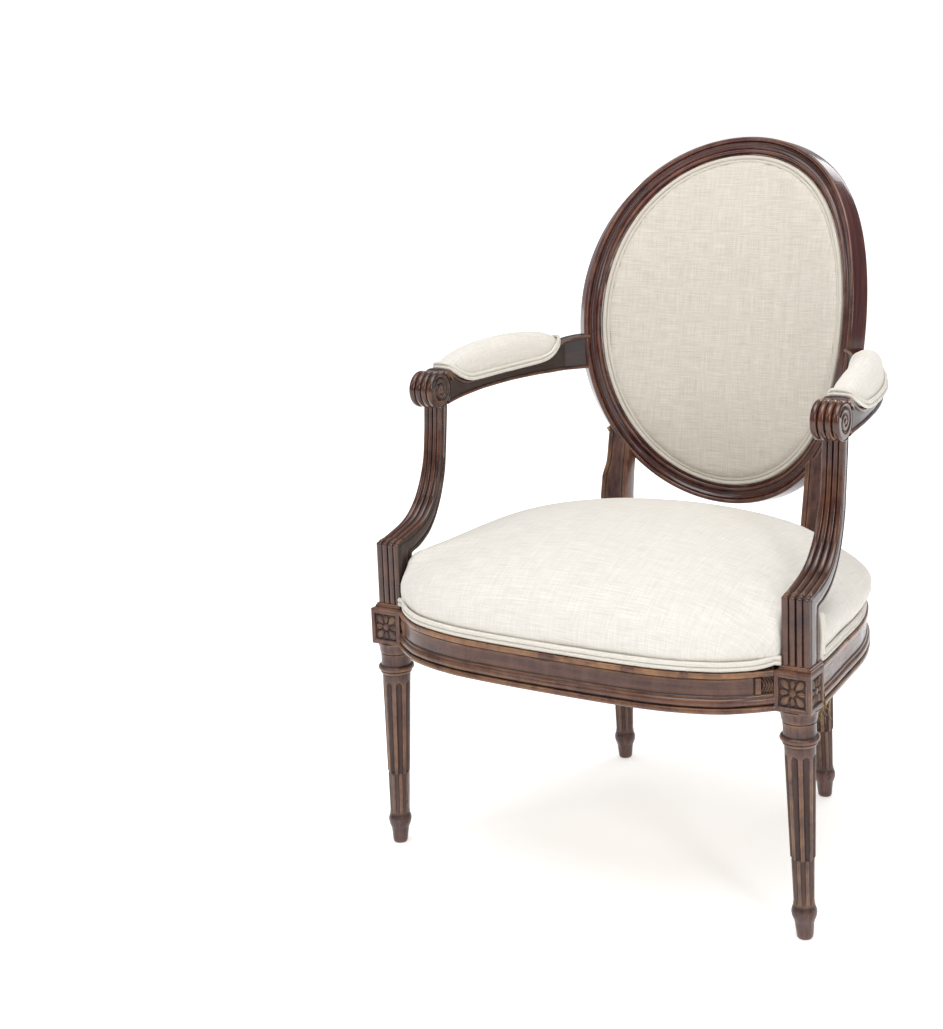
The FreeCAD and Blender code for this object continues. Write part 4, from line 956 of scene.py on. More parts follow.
def rail_sweep(s, line, leaf0=False, leaf1=False, gk=0.0, step=4.5):
    P = [Vector((p.x, p.y, 0)) for p in line]
    L = [0.0]
    for a, b in zip(P, P[1:]):
        L.append(L[-1] + (b - a).length)
    tot = L[-1]
    ds = []
    d = 0.0
    while d < tot:
        ds.append(d)
        e = min(d if leaf0 else 1e9, (tot - d) if leaf1 else 1e9)
        d += 0.8 if e < 27 else step
    ds.append(tot)

    def at(d):
        k = 0
        while k < len(L) - 2 and L[k + 1] < d:
            k += 1
        f = (d - L[k]) / max(L[k + 1] - L[k], 1e-9)
        p = P[k].lerp(P[k + 1], f)
        a, b = P[max(k - 1, 0)], P[min(k + 2, len(P) - 1)]
        t = (b - a).normalized()
        return p, Vector((t.y, -t.x, 0))
    rows = []
    for d in ds:
        p, nn = at(d)
        e = min(d if leaf0 else 1e9, (tot - d) if leaf1 else 1e9)
        row = []
        for j, (o, z) in enumerate(RAIL_FACE):
            oo = o
            mark = 0.0
            if (j in (8, 9, 10, 11)) or (296.0 < z < 298.0 and j > 8):
                mark = 0.55
            if 284.2 < z < 285.2 or 283.2 < z < 283.6:
                mark = 0.7
            if 297.0 < z < 316.0 and 8 < j < len(RAIL_FACE) - 5:
                if e < 15.0:       # carved leaf against the block
                    zz = (z - 306.8) / 9.4
                    ph = e * 0.30 - abs(zz) * 1.25
                    rib = abs(math.sin(ph * math.pi))
                    mid = math.exp(-(zz / 0.16) ** 2)
                    oo = -3.4 + 3.6 * max(rib ** 0.7 * (1 - 0.45 * zz * zz), 0.9 * mid)
                    mark = 0.95 if oo < -1.7 else (-0.25 if oo > -0.6 else 0.3)
                elif e < 16.2:
                    oo, mark = -2.8, 1.0
                elif e < 23.5:
                    oo, mark = 1.3, -0.35
                elif e < 24.6:
                    oo, mark = -1.8, 0.9
            if o > -1.5 and j > 2:
                oo += wobble(d, j * 13, 0.22, 0.05)
                chip = noise.noise(Vector((d * 0.11, z * 0.2, 7.0)))
                if z > 317 and o > 1.0 and chip > 0.42:
                    oo -= (chip - 0.42) * 2.2
            row.append(((p.x + nn.x * oo, p.y + nn.y * oo, z), (d + gk, o, z - 300), mark))
        rows.append(row)
    s.grid(rows, wrap=True, cap0=True, cap1=True)


def rails():
    s = Shape()
    ln = [p for p in front_line if abs(p.x) < 257.4]
    ln = [Vector((-258.3, -242.4))] + ln + [Vector((258.3, -242.4))]
    rail_sweep(s, ln, True, True)
    done(s.object("seat_rail_front", MAT["rail"]), ["front_rail"])
    s = Shape()
    ln = [Vector((299.6, -204.5))] + [p for p in side_line if p.y > -203 and p.x > 174.5] + [Vector((173.0, 143.7))]
    rail_sweep(s, ln, False, False, 911.0)
    m = s.mirrored()
    done(s.object("seat_rail_left", MAT["rail"]), ["side_rail_left"])
    done(m.object("seat_rail_right", MAT["rail"]), ["side_rail_right"])
    s = Shape()
    rows = []
    sec = [(0, 0.8), (0.8, 0), (26.2, 0), (27, 0.8), (27, 5), (26, 6), (26, 41), (27, 42), (27, 46.7), (26.2, 47.5), (0.8, 47.5), (0, 46.7)]
    for i in range(45):
        x = -131 + 262 * i / 44
        rows.append([((x, 136 + a + wobble(i * 6, j * 7, 0.1), 276 + b), (x + 400, a, b)) for j, (a, b) in enumerate(sec)])
    s.grid(rows, wrap=True, cap0=True, cap1=True)
    done(s.object("seat_rail_back", MAT["rail"]), ["back_rail"])


rails()

# ------------------------------------------------------------------ legs
LEG_PROF = [(6.5, 0.0), (8.3, 0.5), (9.3, 1.8), (9.75, 3.8), (10.2, 8.0), (10.8, 14.0), (11.3, 18.8), (11.7, 20.6), (12.4, 22.8), (13.6, 25.8), (14.5, 28.8), (14.95, 31.6), (14.95, 34.0), (14.5, 36.2),
            (13.8, 38.0), (13.2, 39.2), (13.0, 40.6)]
LEG_TOPP = [(18.05, 229.5), (18.1, 232.0), (18.3, 234.2), (19.2, 235.0), (20.1, 236.0), (20.4, 237.2), (20.1, 238.2), (19.6, 238.9), (20.4, 239.4), (21.8, 240.0), (22.8, 241.2), (23.1, 242.8), (22.8, 244.4),
            (21.8, 245.6), (20.2, 246.3), (19.3, 246.8), (19.15, 248.5), (19.1, 254.0), (19.3, 259.5), (19.5, 261.6), (19.0, 262.2), (19.0, 262.9), (20.0, 263.4), (20.6, 265.5), (21.0, 268.5), (21.6, 272.0), (22.6, 275.0), (23.0, 276.6)]
FL = [-22.5, -18.5, -15.4, -14.2, -13.0, -10.5, -7.0, -3.5, 0.0, 3.5, 7.0, 10.5, 13.0, 14.2, 15.4, 18.5]


def shaft_r(z):
    return 12.9 + (18.0 - 12.9) * (z - 39.5) / (228.0 - 39.5)


def flute(z, dphi, r):
    """depth cut into the shaft at this height and angle from a flute's centre"""
    half = math.asin(min(0.99, 4.1 / 17.6))            # same share of the shaft all the way down
    x = abs(dphi * D) / half
    top = 224.0
    if z > top:
        return 0.0
    hw_mm = r * math.sin(half)
    lim = 1.0
    if z > top - hw_mm:                               # rounded top
        q = (z - (top - hw_mm)) / hw_mm
        lim = math.sqrt(max(0.0, 1 - q * q))
    d = 0.0
    if lim > 0.02 and x < lim:
        d = 0.235 * r * 0.92 * math.sqrt(max(0.0, 1 - (x / lim) ** 2)) * (0.35 + 0.65 * lim)
    if z < 100.0:                                     # cabled below
        k = min(1.0, (100.0 - z) / 2.2)
        end = smoothstep(42.0, 47.0, z)
        rod = 0.80 if x < 0.80 else 0.0
        cable = 0.0
        if x < 0.86:
            cable = 0.235 * r * 0.62 * (0.18 + 0.0) + (1 - math.sqrt(max(0.0, 1 - (x / 0.90) ** 2))) * 1.7
        else:
            cable = 1.5 + 0.9 * max(0.0, 1 - abs(x - 0.93) / 0.12)
        d = d * (1 - k) + min(cable, 2.4) * k
        d *= end
    return d


def leg_shape(s, xt, yt, xf, yf, gk, seed):
    rows = []
    zs = [(r, z, False) for r, z in LEG_PROF]
    z = 43.0
    while z < 96:
        zs.append((None, z, True))
        z += 3.0
    for z in (96.5, 98.0, 99.0, 99.6, 100.2, 101.0, 102.5):
        zs.append((None, z, True))
    z = 105.5
    while z < 217:
        zs.append((None, z, True))
        z += 4.0
    for z in (217.5, 219.0, 220.3, 221.5, 222.4, 223.2, 223.9, 224.6, 226.5):
        zs.append((None, z, True))
    zs += [(r, z, False) for r, z in LEG_TOPP]
    for r, z, fl in zs:
        row = []
        rr0 = shaft_r(z) if r is None else r
        cx, cy = xt + (xf - xt) * (276 - z) / 276.0, yt + (yf - yt) * (276 - z) / 276.0
        for k in range(8):
            for dphi in FL:
                ph = (k * 45 + dphi) * D
                fd = flute(z, dphi, rr0) if fl else 0.0
                rr = rr0 - fd
                mark = 0.0
                if fl and 42 < z < 225:
                    mark = min(0.72, fd / 3.6) if fd > 0.7 else (-0.5 if 13.5 < abs(dphi) < 19 and z < 221 else (-0.2 if z < 100 else -0.1))
                elif not fl and (38.9 < z < 41 or 238.5 < z < 239.2 or 262 <= z <= 263 or 246.2 < z < 248):
                    mark = 0.85
                if 3 < z < 270:
                    rr += 0.14 * noise.noise(Vector((k * 1.7 + dphi * 0.02, z * 0.05, seed)))
                if z < 34:
                    rr += 0.35 * noise.noise(Vector((math.cos(ph) * 1.2, math.sin(ph) * 1.2, z * 0.09 + seed)))
                zz = z
                row.append(((cx + rr * math.cos(ph), cy + rr * math.sin(ph), zz), (z + gk, rr * math.cos(ph), rr * math.sin(ph)), mark))
        rows.append(row)
    s.grid(rows, wrap=True, cap0=True, cap1=True)


def rosette(x, y, hx, hy):
    """relief of the carved flower over the sunk field, in mm below the block's face"""
    r = math.hypot(x, y)
    base = -3.0
    edge = min(hx - abs(x), hy - abs(y))
    if edge < 0.35:
        return 0.0
    if edge < 1.0:
        return base * (edge - 0.35) / 0.65
    ph = math.atan2(y * hx / hy, x)
    rmax = min((hx - 1.4) / max(abs(math.cos(ph)), 1e-6), (hy - 1.4) / max(abs(math.sin(ph)), 1e-6), 19.5)
    h = 0.0
    for k in range(8):
        dl = (ph - k * math.pi / 4 + math.pi) % (2 * math.pi) - math.pi
        long = k % 2 == 1
        rm = rmax if long else min(rmax, hx - 1.6)
        f = r / max(rm, 1e-6)
        if f > 1.02:
            continue
        wid = (0.40 if long else 0.36) * (math.sin(min(1.0, f * 1.12) * math.pi * 0.5) if f < 0.7 else 1.0) * math.sqrt(max(0.0, 1 - ((f - 0.62) / 0.40) ** 2)) if f > 0.30 else 0.40
        wid = max(wid, 0.05)
        q = abs(dl) / wid
        if q < 1:
            hh = 2.5 * math.sqrt(1 - q * q) * (0.62 + 0.38 * math.sin(min(1.0, f) * math.pi))
            arcl = abs(dl) * r
            hh -= 0.85 * math.exp(-(arcl / 0.55) ** 2) * smoothstep(3.5, 7.0, r)
            hh -= 0.40 * math.exp(-((arcl - 2.3) / 0.5) ** 2) * smoothstep(8.0, 11.0, r)
            h = max(h, hh)
    if r < 4.3:
        h = max(h, 1.2 + 1.5 * math.sqrt(max(0.0, 1 - (r / 4.3) ** 2)))
    elif r < 5.2:
        h = min(h, 0.5)
    return base + h


def block_shape(s, x0, x1, y0, y1, z0, z1, carve, gk):
    """block with eased edges; carve lists the faces that carry the flower"""
    e = 1.0

    def face(origin, ux, uz, w, h, nrm, carved):
        n, mz = (int(w / 0.85), int(h / 0.85)) if carved else (6, 6)
        # even grid that keeps a rim vertex row at the eased edge
        us = [-w / 2] + [-w / 2 + e] + [(-w / 2 + e) + (w - 2 * e) * i / n for i in range(1, n)] + [w / 2 - e, w / 2]
        vs = [-h / 2] + [-h / 2 + e] + [(-h / 2 + e) + (h - 2 * e) * i / mz for i in range(1, mz)] + [h / 2 - e, h / 2]
        rows = []
        for v in vs:
            row = []
            for u in us:
                d = 0.0
                if abs(abs(u) - w / 2) < 1e-6 or abs(abs(v) - h / 2) < 1e-6:
                    d = -e * 0.55
                    u2 = max(-w / 2 + e * 0.0, min(w / 2, u))
                if carved:
                    hx, hy = w / 2 - 5.0, h / 2 - 5.4
                    if abs(u) < hx and abs(v) < hy:
                        d = rosette(u, v, hx, hy)
                p = origin + ux * u + uz * v + nrm * d
                mark = 0.0
                if carved and abs(u) < w / 2 - 5.0 and abs(v) < h / 2 - 5.4:
                    mark = 0.9 * smoothstep(-1.3, -2.4, d) if d < -1.3 else (-0.22 if d > -0.6 else 0.12)
                row.append((p, (p.z + gk, p.x, p.y), mark))
            rows.append(row)
        s.grid(rows)
    cx, cy, cz = (x0 + x1) / 2, (y0 + y1) / 2, (z0 + z1) / 2
    X, Y, Z = Vector((1, 0, 0)), Vector((0, 1, 0)), Vector((0, 0, 1))
    W, Dp, H = x1 - x0, y1 - y0, z1 - z0
    k = 0.55
    face(Vector((cx, y0, cz)), X, Z, W - 2 * k, H - 2 * k, -Y, "front" in carve)
    face(Vector((cx, y1, cz)), -X, Z, W - 2 * k, H - 2 * k, Y, "back" in carve)
    face(Vector((x1, cy, cz)), Y, Z, Dp - 2 * k, H - 2 * k, X, "outer" in carve)
    face(Vector((x0, cy, cz)), -Y, Z, Dp - 2 * k, H - 2 * k, -X, False)
    face(Vector((cx, cy, z1)), X, Y, W - 2 * k, Dp - 2 * k, Z, False)
    face(Vector((cx, cy, z0)), X, -Y, W - 2 * k, Dp - 2 * k, -Z, False)


def front_legs():
    s = Shape()
    leg_shape(s, 280.0, -224.5, 286.5, -225.5, 0.0, 1.0)
    b = Shape()
    block_shape(b, 257.5, 302.5, -245.5, -203.5, 276.0, 323.5, ("front", "outer"), 40.0)
    s.add(b)
    m = s.mirrored()
    done(s.object("leg_front_left", MAT["leg"], sharp=42), ["front_leg_left"])
    done(m.object("leg_front_right", MAT["leg"], sharp=42), ["front_leg_right"])


front_legs()

UPRIGHT = [(323.5, 130.0, 174.0, 127.0, 163.0), (345, 131.0, 173.0, 127.6, 160.5), (372, 132.5, 171.5, 129.6, 159.0), (400, 133.5, 174.0, 133.8, 160.5), (428, 134.0, 173.6, 139.0, 164.6), (438, 134.0, 171.0, 141.0, 166.6), (447, 134.0, 168.8, 143.0, 168.4),
           (455, 134.0, 168.0, 144.6, 169.8), (480, 134.0, 168.0, 150.2, 175.2), (505, 134.0, 168.0, 156.0, 181.0), (520, 134.0, 168.0, 159.5, 184.5), (560, 134.0, 168.0, 169.0, 194.0),
           (620, 134.0, 168.0, 183.0, 208.0)]


def upright_at(z, a, b):
    k = [lin([(u[0], u[j]) for u in UPRIGHT], z) for j in range(1, 5)]
    w, d = k[1] - k[0], k[3] - k[2]
    return (k[0] + k[1]) / 2 + a * w / 2, k[2] + b * d


def up_section():
    """(a across -1..1, b depth 0..1, mm in from the surface along a, along b)"""
    pts = []
    # front face with a wide bead each side of a hollow
    pts += [(-1, 0, 0.0, 1.6), (-1, 0, 0.5, 0.5), (-1, 0, 1.6, 0.0), (-1, 0, 4.6, 0.0), (-1, 0, 6.0, 0.6), (-1, 0, 6.6, 1.8), (-1, 0, 7.4, 2.0), (-1, 0, 8.2, 1.2), (-1, 0, 10.0, 1.6), (-1, 0, 12.5, 2.3), (0, 0, 0, 2.6)]
    pts += [(1, 0, x, y) for _, _, x, y in pts[:-1][::-1]]
    # outer side with two grooves
    pts += [(1, 0, 0, 4.0), (1, 0, 0.9, 5.0), (1, 0, 0.9, 5.8), (1, 0, 0, 6.8), (1, 0.5, 0, 0), (1, 1, 0, -9.0), (1, 1, 0.9, -8.0), (1, 1, 0.9, -7.2), (1, 1, 0, -6.2), (1, 1, 0, -1.6), (1, 1, 0.5, -0.5), (1, 1, 1.6, 0)]
    pts += [(0, 1, 0, 0), (-1, 1, 1.6, 0), (-1, 1, 0.5, -0.5), (-1, 1, 0, -1.6), (-1, 0.5, 0, 0)]
    return pts


def rear_legs():
    s = Shape()
    leg_shape(s, 152.0, 148.0, 157.0, 160.0, 300.0, 5.0)
    b = Shape()
    block_shape(b, 130.0, 174.0, 127.0, 169.0, 276.0, 323.5, (), 340.0)
    s.add(b)
    sec = up_section()

    def pt(z, q):
        a, bb, ia, ib = q
        x, y = upright_at(z, a, bb)
        x -= math.copysign(ia, a) if a else 0.0
        y += ib
        return x, y
    ends = []
    for q in sec:
        z = 400.0
        while z < 600.0:
            x, y = pt(z, q)
            u, v, n = unwrap(x, y, z)
            if math.hypot(u / (BACK_A - 2.2), v / (BACK_B - 2.2)) <= 1.0:
                break
            z += 0.5
        ends.append(z)
    rows = []
    M = 64
    for i in range(M + 1):
        f = i / M
        row = []
        for j, q in enumerate(sec):
            z = 322.8 + (ends[j] - 322.8) * f
            x, y = pt(z, q)
            row.append(((x + wobble(z, j * 5, 0.1), y, z), (z + 600, x - 150, y - 150)))
        rows.append(row)
    s.grid(rows, wrap=True, cap0=True, cap1=True)
    m = s.mirrored()
    done(s.object("leg_back_left", MAT["leg"], sharp=42), ["back_leg_left"])
    done(m.object("leg_back_right", MAT["leg"], sharp=42), ["back_leg_right"])


rear_legs()

# ------------------------------------------------------------------ arm supports
# matching points of the front and the rear edge, (y, z) each
SUPPORT = [((-235, 323.2), (-201, 323.2)), ((-235, 345), (-201, 345)), ((-235, 368), (-201, 365)), ((-235, 386), (-201, 380)), ((-235, 397), (-200.8, 386.5)), ((-235, 403.2), (-200, 389)),
           ((-234.95, 406.4), (-198.6, 389.6)), ((-233.9, 407.6), (-196, 390.4)), ((-226, 409.2), (-192.5, 391.4)), ((-216, 411.4), (-185, 393.2)), ((-202, 415.2), (-174, 398.2)), ((-186, 420.0), (-162, 405.5)),
           ((-171, 426.8), (-149.5, 417.5)), ((-159, 436.2), (-139.5, 431)), ((-149.5, 447.2), (-130.5, 446.5)), ((-141.5, 460.5), (-122.6, 464)), ((-135.5, 474.5), (-117, 479)), ((-131, 488.5), (-113.6, 492.5)),
           ((-128.2, 502), (-111.3, 506)), ((-125.8, 520), (-109.2, 522)), ((-124, 535), (-107.4, 538)), ((-122.8, 552), (-105.6, 554)), ((-121.9, 566), (-104.4, 567)), ((-121.5, 580), (-103.5, 580))]


def support_hw(z):
    return lin([(323, 17.0), (405, 17.0), (440, 16.0), (500, 13.75), (600, 13.75)], z)


def support_section():
    """(a 0..1 across half width signed, mm in from the front, share of depth)"""
    f = []
    reeds = [(-1.0, -0.53), (-0.47, -0.045), (0.045, 0.47), (0.53, 1.0)]
    for k, (a0, a1) in enumerate(reeds):
        for i in range(9):
            q = -1 + 2 * i / 8
            qq = q * 0.985
            f.append((a0 + (a1 - a0) * i / 8, 0.0, 2.1 * (1 - math.sqrt(1 - qq * qq))))
        if k < 3:
            f.append(((a1 + reeds[k + 1][0]) / 2, 0.0, 3.6 if k == 1 else 3.0))
    side = [(1.0, 0.0, 3.4), (0.955, 0.0, 4.3), (0.955, 0.0, 5.0), (1.0, 0.0, 5.9), (1.0, 0.30, 0.0), (1.0, 0.50, 0.0), (1.0, 0.64, 0.0), (0.93, 0.69, 0.0), (0.93, 0.73, 0.0), (0.985, 0.76, 0.0), (1.0, 0.81, 0.0), (1.0, 0.88, 0.0),
            (0.97, 0.93, 0.0), (0.90, 0.975, 0.0), (0.78, 1.0, 0.0)]
    back = [(0.4, 1.0, 0.0), (0.0, 1.0, 0.0), (-0.4, 1.0, 0.0)]
    return f + side + back + [(-a, b, c) for a, b, c in side[::-1]]


def arm_support(s):
    P4 = catmull([(a[0], a[1], 0) for a, b in SUPPORT], 4)
    Q4 = catmull([(b[0], b[1], 0) for a, b in SUPPORT], 4)
    # a span must stay straight up the post, so only the console part is smoothed
    sec = support_section()
    rows = []
    L = 0.0
    for i, (p, q) in enumerate(zip(P4, Q4)):
        if i:
            L += (Vector(((p.x + q.x) / 2, (p.y + q.y) / 2)) - Vector(((P4[i - 1].x + Q4[i - 1].x) / 2, (P4[i - 1].y + Q4[i - 1].y) / 2))).length
        d = Vector((0, q.x - p.x, q.y - p.y))
        dep = d.length
        dn = d / dep
        zc = (p.y + q.y) / 2
        hw = support_hw(zc)
        row = []
        # the reeds run out just over the foot of the post; the nick at the shoulder is weighted by zero and cuts
        # nothing
        run = smoothstep(324.5, 329.0, p.y)
        nick = math.exp(-((p.y - 404.2) / 1.5) ** 2) if p.x < -231 else 0.0
        for a, share, mmin in sec:
            mm_ = mmin
            if share == 0.0 and abs(a) <= 1.0 and mmin <= 3.7:
                mm_ = mmin * run
                mm_ += nick * (1.2 if mmin < 1.5 else 0.0) * 0
            dd = share * dep + mm_
            ww = 0.12 * noise.noise(Vector((L * 0.05, a * 3, share * 5)))
            x = 280.0 + a * hw + (ww if abs(a) > 0.9 else 0)
            yz = Vector((0, p.x, p.y)) + dn * (dd + (ww if share < 0.1 else 0))
            mark = 0.0
            if share == 0.0 and abs(a) <= 1.0:
                mark = 1.0 if mmin > 2.4 else (0.35 if mmin > 1.3 else (-0.4 if mmin < 0.15 else 0.0))
            elif 0.68 < share < 0.78 and abs(a) > 0.9:
                mark = 0.7
            row.append(((x, yz.y, yz.z), (L, a * hw, dd), mark))
        rows.append(row)
    s.grid(rows, wrap=True, cap0=True, cap1=True)
    # stepped foot of the post on the block
    for x0, x1, y0, y1, z0, z1 in ((260.9, 299.9, -237.4, -201.0, 322.9, 326.3), (262.0, 298.6, -236.2, -201.0, 326.2, 328.6)):
        r = 0.8
        rows = []
        for z, k in ((z0, 0.0), (z1 - r, 0.0), (z1 - 0.3 * r, 0.3 * r), (z1, r)):
            rows.append([((x, y, z), (z, x - 280, y + 220)) for x, y in ((x0 + k, y0 + k), (x0 + k, y1), (x1 - k, y1), (x1 - k, y0 + k))])
        s.grid(rows, wrap=True, cap0=True, cap1=True)
    # small pointed leaves laid on the reeds just behind the shoulder
    for a0 in (-0.765, -0.2575, 0.2575, 0.765):
        rows = []
        for i in range(13):
            f = i / 12
            w = 3.5 * (math.sqrt(min(1.0, f * 5)) if f < 0.2 else 1 - ((f - 0.2) / 0.8) ** 1.5) + 0.06
            y, z = -231.5 + 17.0 * f, 407.6 + 4.3 * f
            row = []
            for k in range(12):
                th = 2 * math.pi * k / 12
                h = (0.5 + w * 0.36) * math.sin(th)
                if abs(math.cos(th)) < 0.3 and h > 0:
                    h -= 0.35
                row.append(((280 + a0 * 17.0 + w * math.cos(th), y - h * 0.2, z + h), (f * 17, k, a0 * 9), -0.5 if h > 0.6 else 0.8))
            rows.append(row)
        s.grid(rows, wrap=True, cap0=True, cap1=True)


def supports():
    s = Shape()
    arm_support(s)
    m = s.mirrored()
    done(s.object("arm_post_left", MAT["arm"], sharp=50), ["arm_support_left"])
    done(m.object("arm_post_right", MAT["arm"], sharp=50), ["arm_support_right"])


supports()

# ------------------------------------------------------------------ arms
ARM_P = [(203.0, 149.0), (253.0, 98.0), (279.5, -5.0), (279.5, -105.0)]
ARM_TOP = [(0.0, 629.0), (0.05, 628.2), (0.10, 626.6), (0.14, 624.6), (0.17, 622.2), (0.20, 618.4), (0.235, 612.0), (0.27, 606.4), (0.31, 602.6), (0.36, 600.0), (0.62, 596.0), (0.86, 593.5), (0.90, 596.6), (0.93, 601.0), (0.96, 607.0),
           (0.985, 611.5), (1.0, 613.0)]
ARM_BOT = [(0.0, 581.0), (0.35, 581.5), (0.55, 580.0), (0.75, 577.0), (0.9, 572.5), (1.0, 567.5)]
ARM_HW = [(0.0, 12.0), (0.16, 13.0), (0.20, 15.4), (0.24, 18.0), (0.28, 19.6), (0.34, 20.5), (0.7, 20.5), (0.88, 19.0), (0.96, 17.0), (1.0, 16.5)]
SCROLL = (279.5, -125.0, 589.5)


def bez(p, t):
    a, b, c, d = p
    k = 1 - t
    return [k ** 3 * a[i] + 3 * k * k * t * b[i] + 3 * k * t * t * c[i] + t ** 3 * d[i] for i in range(2)]


def bez_tan(p, t):
    a, b, c, d = p
    k = 1 - t
    v = [3 * k * k * (b[i] - a[i]) + 6 * k * t * (c[i] - b[i]) + 3 * t * t * (d[i] - c[i]) for i in range(2)]
    n = math.hypot(v[0], v[1])
    return v[0] / n, v[1] / n


def arm_pt(t, e, z):
    """e outward across the arm"""
    if t < 0:
        x, y = bez(ARM_P, 0.0)
        tx, ty = bez_tan(ARM_P, 0.0)
        x, y = x + tx * t, y + ty * t
    else:
        x, y = bez(ARM_P, t)
        tx, ty = bez_tan(ARM_P, t)
    return (x - ty * e, y + tx * e, z)


ARM_LEN = 300.0


def arm_body(s):
    ts = [-6.0] + [i / 70.0 for i in range(0, 71)]
    rows = []
    for t in ts:
        k = max(t, 0.0)
        zb, zt, h = lin(ARM_BOT, k), lin(ARM_TOP, k), lin(ARM_HW, k)
        H = zt - zb
        q = min(1.0, H / 14.5)
        dp = 2.6
        side = [(-4.0, 0.0), (-1.6, 0.25), (-0.3, 1.3), (0.0, 2.6), (-0.3, 3.9), (-1.3, 4.8), (-dp, 5.2), (-dp, 6.6)]
        right = [(h + a, zb + b * q) for a, b in side] + [(h - dp, (zb + zt) / 2)] + [(h + a, zt - b * q) for a, b in side[::-1]]
        left = [(-e, z) for e, z in right[::-1]]
        # the crown of the bare rear part is a shallow hollow between the beads
        fade = 1.0 - smoothstep(0.16, 0.22, k)
        top = [(h * 0.55, zt - 0.9 * fade), (0.0, zt - 1.2 * fade), (-h * 0.55, zt - 0.9 * fade)]
        sec = right + top + left + [(-h * 0.4, zb), (h * 0.4, zb)]
        L = k * ARM_LEN if t >= 0 else t
        mk = [0.0, 0.0, 0.0, -0.5, 0.0, 0.5, 1.0, 0.9, 0.35]
        mk = mk + mk[:-1][::-1]
        mk = mk + [0.0] * 3 + mk[::-1][:len(mk)] + [0.0] * 2
        mk = (mk + [0.0] * len(sec))[:len(sec)]
        rows.append([(arm_pt(t, e, z), (L + 60, e, z - 600), c) for (e, z), c in zip(sec, mk)])
    s.grid(rows, wrap=True, cap0=True, cap1=True)


def scroll_body(s):
    cx, cy, cz = SCROLL
    R, W = 24.0, 35.0
    # lobed barrel: four reeds across the width
    xs = []
    lobes = [(-17.5, -9.6), (-8.3, -0.55), (0.55, 8.3), (9.6, 17.5)]
    for k, (a0, a1) in enumerate(lobes):
        for i in range(9):
            q = (-1 + 2 * i / 8) * 0.985
            depth = 2.7 * (1 - math.sqrt(1 - q * q))
            if (k == 0 and q < 0) or (k == 3 and q > 0):
                depth *= 0.75
            xs.append((a0 + (a1 - a0) * i / 8, depth))
        if k < 3:
            xs.append(((a1 + lobes[k + 1][0]) / 2, 3.9))
    N = 96
    rows = []
    for i in range(N):
        th = 2 * math.pi * i / N
        row = []
        for x, dpt in xs:
            r = R - dpt
            row.append(((cx + x, cy - r * math.cos(th), cz + r * math.sin(th)), (R * th, x, r), 1.0 if dpt > 2.6 else (-0.45 if dpt < 0.2 else 0.0)))
        rows.append(row)
    s.grid(rows, loop=True)
    # side faces with the volute: spiral groove that winds to an eye
    for sd in (1, -1):
        rows = []
        rr = [22.0 * (1 - (j / 44.0)) for j in range(44)] + [0.25]
        for r in rr:
            row = []
            for i in range(N):
                th = 2 * math.pi * i / N
                # groove radius for this angle: it starts at the rear and winds forward and in
                h = 0.0
                for turn in range(3):
                    tt = th + turn * 2 * math.pi
                    rg = 17.6 - (tt - 0.4) * (17.6 - 4.4) / (2 * math.pi * 1.75)
                    if tt > 2 * math.pi * 1.75 + 0.4 or tt < 0.4:
                        continue
                    gw = 1.0 + 0.045 * rg
                    d = abs(r - rg)
                    h = min(h, -3.0 * math.exp(-(d / gw) ** 2))
                if r < 3.6:
                    h = max(h, 0.3 + 1.1 * math.sqrt(max(0.0, 1 - (r / 3.6) ** 2)))
                rim = -0.9 * smoothstep(20.2, 22.0, r)
                xx = sd * (W / 2 + h + rim * 0.8 + 0.25 * (1 - abs(r - 18) / 6 if abs(r - 18) < 6 else 0))
                row.append(((cx + xx, cy - r * math.cos(th), cz + r * math.sin(th)), (r, xx, R * th), min(1.0, -h / 1.6) if h < -0.5 else (-0.5 if h > -0.06 and r < 20 else 0.0)))
            rows.append(row)
        s.grid(rows, wrap=True, cap1=True)
    # raised lip that the pad's front piping tucks behind
    rows = []
    path = [(-113.0, 609.6), (-109.5, 612.5), (-106.0, 614.3), (-102.0, 614.6), (-98.0, 612.2), (-94.0, 607.6)]
    pts = [p for p in catmull([(0, y, z) for y, z in path], 3)]
    for i, p in enumerate(pts):
        w = 16.4
        row = []
        for k in range(15):
            a = -1 + 2 * k / 14
            row.append(((cx + a * w, p.y, p.z - 1.1 * a * a - 0.9 * (1 - math.sqrt(max(0.0, 1 - a * a))) ), (i * 2, a * w, 0)))
        rows.append(row)
    rows2 = [[((q[0][0], q[0][1], q[0][2] - 9.0), q[1]) for q in row] for row in rows]
    ring_rows = []
    for a, b in zip(rows, rows2):
        ring_rows.append(a + b[::-1])
    s.grid(ring_rows, wrap=True, cap0=True, cap1=True)
    # neck that joins the barrel to the arm
    rows = []
    for y, zb, zt, hw in ((-128.0, 577.0, 606.0, 14.5), (-120.0, 572.0, 610.0, 16.0), (-112.0, 569.6, 612.0, 16.4), (-104.0, 567.7, 612.6, 16.5)):
        rows.append([((cx + a * hw, y, zb + (zt - zb) * b), (y, a * hw, b * 40)) for a, b in ((-0.8, 0.0), (0.8, 0.0), (1.0, 0.1), (1.0, 0.9), (0.85, 1.0), (-0.85, 1.0), (-1.0, 0.9), (-1.0, 0.1))])
    s.grid(rows, wrap=True, cap0=True, cap1=True)


def arms():
    s = Shape()
    arm_body(s)
    scroll_body(s)
    m = s.mirrored()
    done(s.object("arm_left", MAT["arm"], sharp=46, merge=0.02), ["armrest_left"])
    done(m.object("arm_right", MAT["arm"], sharp=46, merge=0.02), ["armrest_right"])


arms()

